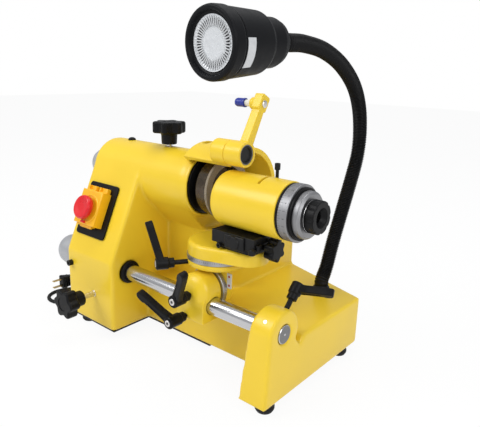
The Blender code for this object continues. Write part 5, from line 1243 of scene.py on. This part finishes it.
# Node, joint, the blade's direction, its length, the stud's length and the hub's end.
LEVERS = (
    ("carriage_lever", "carriage_lever_turn", (-0.82, 0.0, 0.57), 62.0, 4.0, 34.0),
    ("tilt_lever", "tilt_lever_turn", (0.5, 0.0, 0.86), 62.0, 4.0, 33.0),
    ("swivel_lever", "swivel_lever_turn", (-0.12, 0.08, 1.0), 62.0, 14.0, 40.0),
    ("bar_lock_lever", "bar_lock_lever_turn", (1.0, 0.12, -0.12), 49.0, 14.0, 38.0),
)


class GRINDER_OT_levers(bpy.types.Operator):
    """Clamp levers with hubs, studs and end screws"""

    bl_idname = "grinder.levers"
    bl_label = "Clamp levers"

    def execute(self, context):
        for node, joint, aim, arm, stud, end in LEVERS:
            found = [j for j in frame["joints"] if j["name"] == joint][0]
            seat = MACHINE.inverted() @ Vector(found["pos_m"])
            out = Vector(found["axis"]).normalized()
            side = Vector(aim) - out * Vector(aim).dot(out)
            self.lever(node, seat, out, side.normalized(), arm, stud, end)
        return {"FINISHED"}

    def lever(self, node, seat, out, side, arm, stud, end):
        hub = lathe(
            [
                (-7, 0), (-7, 3.5), (stud, 3.5), (stud, 6.6), (stud + 0.6, 7.0), (stud + 7.4, 7.0), (stud + 8.0, 7.8),
                (stud + 9.0, 8.6), (end - 1.6, 8.7), (end - 0.4, 7.6), (end, 6.2), (end, 5.2), (end - 1.2, 4.8),
                (end - 1.2, 0),
            ],
            seat, out, 56, 0.4,
        )
        lean = math.radians(15.0)
        along = (side * math.cos(lean) + out * math.sin(lean)).normalized()
        across = out.cross(side)
        thick = across.cross(along)
        root = seat + out * (end - 8.5)
        outline = eased([(share * arm, wide) for share, wide in LEVER_OUTLINE], 2.0)
        blade = soft(slab(outline, "Z", -5.2, 5.2), 1.6, 3, 50.0)
        inset = eased([(share * arm, wide) for share, wide in LEVER_DENT], 1.0)
        dents = [slab(inset, "Z", low, low + 3.4) for low in (4.6, -8.0)]
        stand = stood(root, along, across, thick)
        blade = turned_by(worked(blade, cuts=dents), stand)
        show(worked(hub, [blade]), node + "_grip", "black_plastic", node, node, sharp=38.0)
        screw = socket_screw(seat + out * (end - 2.0), out, 4.7, 2.6, 0.55)
        show(screw, node + "_screw", "bright_screw", node)
        hole = rod(seat + out * (end - 0.9), out, 0.3, 2.3, 6)
        show(hole, node + "_hole", "ink", node, weigh=False)


class GRINDER_OT_lock_knobs(bpy.types.Operator):
    """Star knobs that lock the quill and the bar"""

    bl_idname = "grinder.lock_knobs"
    bl_label = "Lock knobs"

    def execute(self, context):
        for node, seat, out, stud, radius in (
            ("quill_lock_knob", (133.0, 109.0, 298.6), Z_AXIS, 3.5, 26.0),
            ("bar_lock_knob", (70.9, 0.0, 64.0), -Y_AXIS, 23.0, 24.0),
        ):
            stem = stud + 17.0
            head = star_shape(radius, 18.0, 6, 0.10)
            bmesh.ops.translate(head, vec=(0, 0, stem), verts=head.verts)
            moved(head, seat, out)
            hub = lathe(
                [
                    (-7, 0), (-7, 4.0), (stud, 4.0), (stud, 11.4), (stud + 1, 12.0), (stem - 3, 12.6), (stem, 14.0),
                    (stem + 6, 14.0), (stem + 6, 0),
                ],
                seat, out, 56, 0.5,
            )
            made = worked(head, [hub])
            dish = lathe([(0, 0), (0, 10.5), (3, 11.5), (3, 0)], (0, 0, stem + 17.2), Z_AXIS, 48)
            moved(dish, seat, out)
            show(worked(made, cuts=[dish]), node + "_star", "black_plastic", node, node, sharp=38.0)
            collar = lathe([(0, 0), (0, 5.2), (0.8, 5.2), (0.8, 4.4), (stud + 0.4, 4.4),
                (stud + 0.4, 0)], seat, out, 40, 0.2)
            show(collar, node + "_stud", "bright_screw", node)
        return {"FINISHED"}


SWITCH = (44.0, 81.5)


class GRINDER_OT_switch(bpy.types.Operator):
    """Switch on the leaning face: base, hinged lid, stop button and the two buttons inside"""

    bl_idname = "grinder.switch"
    bl_label = "Switch"

    def execute(self, context):
        up = Vector((0, math.sin(LEAN), math.cos(LEAN)))
        out = X_AXIS.cross(up)
        stand = stood((0, 0, BEND_Z), X_AXIS, up, out)
        self.base(stand)
        self.lid(stand)
        dress("green_plastic", "start_button")
        dress("red_plastic", "stop_button")
        return {"FINISHED"}

    def base(self, stand):
        low = (50.0 - 35.75, 75.0 - 44.0)
        high = (50.0 + 35.75, 75.0 + 44.0)
        outline = round_corners([low, (high[0], low[1]), high, (low[0], high[1])], 6.0, 6)
        plate = soft(slab(outline, "Z", 0.3, 3.3), 0.8, 3, 60.0)
        core = block((26.0, 50.6, 1.5), (64.0, 101.0, 13.3))
        wells = [rod((SWITCH[0], SWITCH[1] + s * 12.0, 6.3), Z_AXIS, 20, 7.4, 40) for s in (-1, 1)]
        made = worked(plate, [core], wells)
        show(turned_by(made, stand), "switch_plate", "black_plastic", "base", "switch_base", sharp=40.0)

    def lid(self, stand):
        left, right, low, high = 22.7, 74.4, 47.6, 103.2
        floor, top = 3.6, 20.5
        spot = (50.5, 73.5)
        shell = block((left, low, floor), (right, high, top))
        soft(shell, 2.2, 4, 60.0, lambda a, b: min(a.z, b.z) > floor + 1)
        lip = soft(block((left - 1.5, low - 3.2, floor), (right - 14.0, low + 3.0, floor + 9.0)), 1.2, 3)
        ledge = soft(block((left + 2.0, low - 5.6, floor), (right - 20.0, low + 3.0, floor + 4.0)), 1.0, 3)
        tabs = [
            soft(block((x, high - 4.0, floor), (x + 21.0, high + 8.0, floor + tall)), 1.4, 3)
            for x, tall in ((left + 3.0, 11.0), (left + 28.0, 8.0))
        ]
        ridge = lathe([(0, 0), (0, 23.5), (1.6, 22.6), (1.6, 0)], (*spot, top - 0.5), Z_AXIS, 72, 0.4)
        room = block((left + 2, low + 2, 0), (right - 2, high - 2, top - 2))
        hole = rod((*spot, 10), Z_AXIS, 40, 10.4, 56)
        recess = [
            block((x, high + 1.5, floor + tall), (x + 13.0, high + 12.0, 40))
            for x, tall in ((left + 7.0, 6.5), (left + 32.0, 4.5))
        ]
        dip = rod((*spot, top + 0.2), Z_AXIS, 10, 20.8, 72)
        made = worked(shell, [lip, ledge, *tabs, ridge], [room, hole, dip, *recess])
        show(turned_by(made, stand), "lid_shell", "lid_yellow", "switch_lid", "switch_lid", sharp=40.0)
        rise = 5.5
        stop = lathe(
            [
                (0.0, 0), (0.0, 10.0), (rise, 10.0), (rise, 17.6), (rise + 0.8, 18.9), (rise + 5.6, 19.2),
                (rise + 8.4, 18.2),
                (rise + 9.6, 16.4), (rise + 9.0, 12.0), (rise + 8.2, 7.0), (rise + 8.0, 0),
            ],
            (*spot, top), Z_AXIS, 96, 0.6,
        )
        latch = soft(block((spot[0] - 4.0, low + 2.0, top - 1.0), (spot[0] + 4.0, spot[1] - 19.8, top + 5.0)), 1.0, 3)
        show(turned_by(stop, stand), "stop_mushroom", "red_plastic", "emergency_button", "emergency_button",
            sharp=40.0)
        show(turned_by(latch, stand), "latch_tongue", "red_plastic", "switch_lid")


NECK_ROUTE = (
    (362.1, 225.5, 124.0), (361.8, 240.0, 160.0), (361.3, 260.0, 202.0), (360.6, 285.0, 253.0), (360.2, 301.0, 293.0),
    (360.2, 302.0, 332.0), (360.5, 290.0, 370.0), (361.2, 265.0, 401.5), (362.2, 222.0, 428.5), (363.5, 172.0, 445.0),
    (364.8, 122.0, 451.0),
)
LAMP_REAR = Vector((366.2, 65.7, 449.3))
LAMP_FRONT = Vector((359.6, -46.0, 443.3))
BEZEL_LENGTH = 18.3


class GRINDER_OT_lamp(bpy.types.Operator):
    """Lamp with its ribbed gooseneck, body, bezel, reflector and lens"""

    bl_idname = "grinder.lamp"
    bl_label = "Lamp"

    def execute(self, context):
        axis = (LAMP_FRONT - LAMP_REAR).normalized()
        length = (LAMP_FRONT - LAMP_REAR).length
        low, high = limits("lamp_socket")
        base = Vector((362.4, 214.0, low.z))
        tall = high.z - low.z
        socket = lathe(
            [(0, 5.0), (0, 15.0), (0.35 * tall, 15.0), (0.45 * tall, 13.6), (tall, 12.4),
            (tall, 5.0)], base, Z_AXIS, 64, 0.6
        )
        show(socket, "neck_socket", "black_plastic", "base", "lamp_socket")
        self.neck(base + Z_AXIS * (tall + 0.6), axis)
        self.body(axis, length)
        self.front(axis, length)
        return {"FINISHED"}

    def neck(self, foot, axis):
        start = [foot, foot + Z_AXIS * 5.5, foot + Z_AXIS * 11.0]
        end = [LAMP_REAR - axis * 22.0, LAMP_REAR - axis * 11.0, LAMP_REAR - axis * 0.6]
        route = [*start, *NECK_ROUTE, *end]
        length = sum((Vector(b) - Vector(a)).length for a, b in zip(route, route[1:]))
        points = smooth_route(route, length / (4 * looks().neck_ribs))
        wave = (11.0, 10.8, 9.5, 10.2)
        radii = [wave[i % 4] for i in range(len(points))]
        arm = tube("neck", points, radii, 6)
        bm = settled(arm)
        bmesh.ops.remove_doubles(bm, verts=bm.verts, dist=1e-6)
        bmesh.ops.recalc_face_normals(bm, faces=bm.faces)
        show(bm, "gooseneck", "neck_black", "base", "lamp_gooseneck", sharp=60.0, weigh=False, metres=True)

    def body(self, axis, length):
        front = length - BEZEL_LENGTH
        shell = lathe(
            [
                (0, 5.0), (0, 14.0), (4.6, 20.7), (10.8, 25.2), (19.0, 28.0), (36.0, 28.0), (37.5, 28.2),
                (43.0, 32.4),
                (47.0, 34.2), (front - 1, 37.0), (front, 36.6), (front, 34.0), (48.0, 30.3), (40.0, 25.0),
                (18.6, 25.0),
                (9.3, 5.0),
            ],
            LAMP_REAR, axis, 96, 1.0,
        )
        show(shell, "lamp_shell", "lamp_black", "base", "lamp_body")
        self.plate(axis)

    def plate(self, axis):
        """Bare plate bent round the body."""
        side = axis.orthogonal().normalized()
        bm = bmesh.new()
        rows = []
        for i in range(25):
            out = Matrix.Rotation(math.radians(94 + 49 * i / 24), 3, axis) @ side
            row = []
            for along, lift in ((80.0, -0.3), (80.0, 0.25), (92.5, 0.25), (92.5, -0.3)):
                radius = 34.2 + 2.8 * (along - 47.0) / 45.8 + lift
                row.append(bm.verts.new(LAMP_REAR + axis * along + out * radius))
            rows.append(row)
        for one, two in zip(rows, rows[1:]):
            for k in range(4):
                bm.faces.new((one[k], one[(k + 1) % 4], two[(k + 1) % 4], two[k]))
        bm.faces.new(rows[0])
        bm.faces.new(rows[-1][::-1])
        show(tidy(bm), "lamp_plate", "bare_plate", "base")

    def front(self, axis, length):
        front = length - BEZEL_LENGTH
        seat = LAMP_REAR + axis * (front + 0.3)
        rim = lathe(
            [
                (0, 28.8), (0, 35.9), (1.0, 37.2), (3.6, 38.2), (14.4, 38.2), (17.0, 37.3), (18.0, 36.0),
                (18.0, 33.4), (16.8, 32.4),
                (13.4, 31.2), (12.6, 29.6), (12.4, 28.8),
            ],
            seat, axis, 112, 0.5,
        )
        show(rim, "lamp_rim", "lamp_black", "base", "lamp_bezel")
        glass_at = LAMP_REAR + axis * (length - 13.0)
        glass = lathe([(0, 0), (0, 17.1), (6.8, 28.2), (8.0, 28.5), (8.0, 26.5), (6.2, 22.0),
            (5.6, 0)], glass_at, axis, 96, 0.4)
        show(glass, "lamp_glass", "reflector", "base", "lamp_lens")
        side = axis.orthogonal().normalized()
        # A dark ink sheet laid over the lens between the ribs: painted shade for the dark gaps between them.
        rib_gap_shade = lathe(
            [(5.7, 16.8), (5.9, 16.8), (6.6, 22.2), (7.6, 26.8), (7.2, 26.8), (6.2, 22.2)], glass_at, axis, 96
        )
        show(rib_gap_shade, "lamp_rib_gap_shade", "ink", "base", weigh=False)
        ribs = []
        for i in range(48):
            out = Matrix.Rotation(math.tau * i / 48, 3, axis) @ side
            across = axis.cross(out)
            stand = Matrix((out, across, axis)).transposed().to_4x4()
            rib = soft(block((16.4, -0.62, -0.4), (26.9, 0.62, 1.6)), 0.3, 2)
            for vert in rib.verts:
                vert.co.z += 0.16 * max(0.0, vert.co.x - 18.0)
            ribs.append(turned_by(rib, Matrix.Translation(glass_at + axis * 5.9) @ stand))
        show(gathered(*ribs), "lamp_ribs", "bare_plate", "base", weigh=False)


class GRINDER_OT_drive(bpy.types.Operator):
    """Motor, rotor and belt inside the casting"""

    bl_idname = "grinder.drive"
    bl_label = "Drive"

    def execute(self, context):
        dress("dark_paint", "motor")
        dress("polished_steel", "motor_rotor")
        dress("black_rubber", "drive_belt")
        return {"FINISHED"}


OPERATORS = (
    GRINDER_OT_stage, GRINDER_OT_mains_lead, GRINDER_OT_casting, GRINDER_OT_feed_knobs, GRINDER_OT_guide_bar,
    GRINDER_OT_wheel, GRINDER_OT_guard, GRINDER_OT_dresser, GRINDER_OT_carriage, GRINDER_OT_swivel, GRINDER_OT_slide,
    GRINDER_OT_work_head, GRINDER_OT_index, GRINDER_OT_levers, GRINDER_OT_lock_knobs, GRINDER_OT_switch,
    GRINDER_OT_lamp,
    GRINDER_OT_drive,
)


class GRINDER_PT_panel(bpy.types.Panel):
    """The grinder's pieces"""

    bl_idname = "GRINDER_PT_panel"
    bl_label = "Grinder"
    bl_space_type = "VIEW_3D"
    bl_region_type = "UI"
    bl_category = "Grinder"

    def draw(self, context):
        for name in GrinderLooks.__annotations__:
            self.layout.prop(context.scene.grinder_looks, name)
        for operator in OPERATORS:
            self.layout.operator(operator.bl_idname)


def register():
    bpy.utils.register_class(GrinderLooks)
    bpy.types.Scene.grinder_looks = bpy.props.PointerProperty(type=GrinderLooks)
    for operator in OPERATORS:
        bpy.utils.register_class(operator)
    bpy.utils.register_class(GRINDER_PT_panel)


def unregister():
    bpy.utils.unregister_class(GRINDER_PT_panel)
    for operator in reversed(OPERATORS):
        bpy.utils.unregister_class(operator)
    del bpy.types.Scene.grinder_looks
    bpy.utils.unregister_class(GrinderLooks)


def main():
    register()
    for operator in OPERATORS:
        group, name = operator.bl_idname.split(".")
        getattr(getattr(bpy.ops, group), name)()


if __name__ == "__main__":
    main()
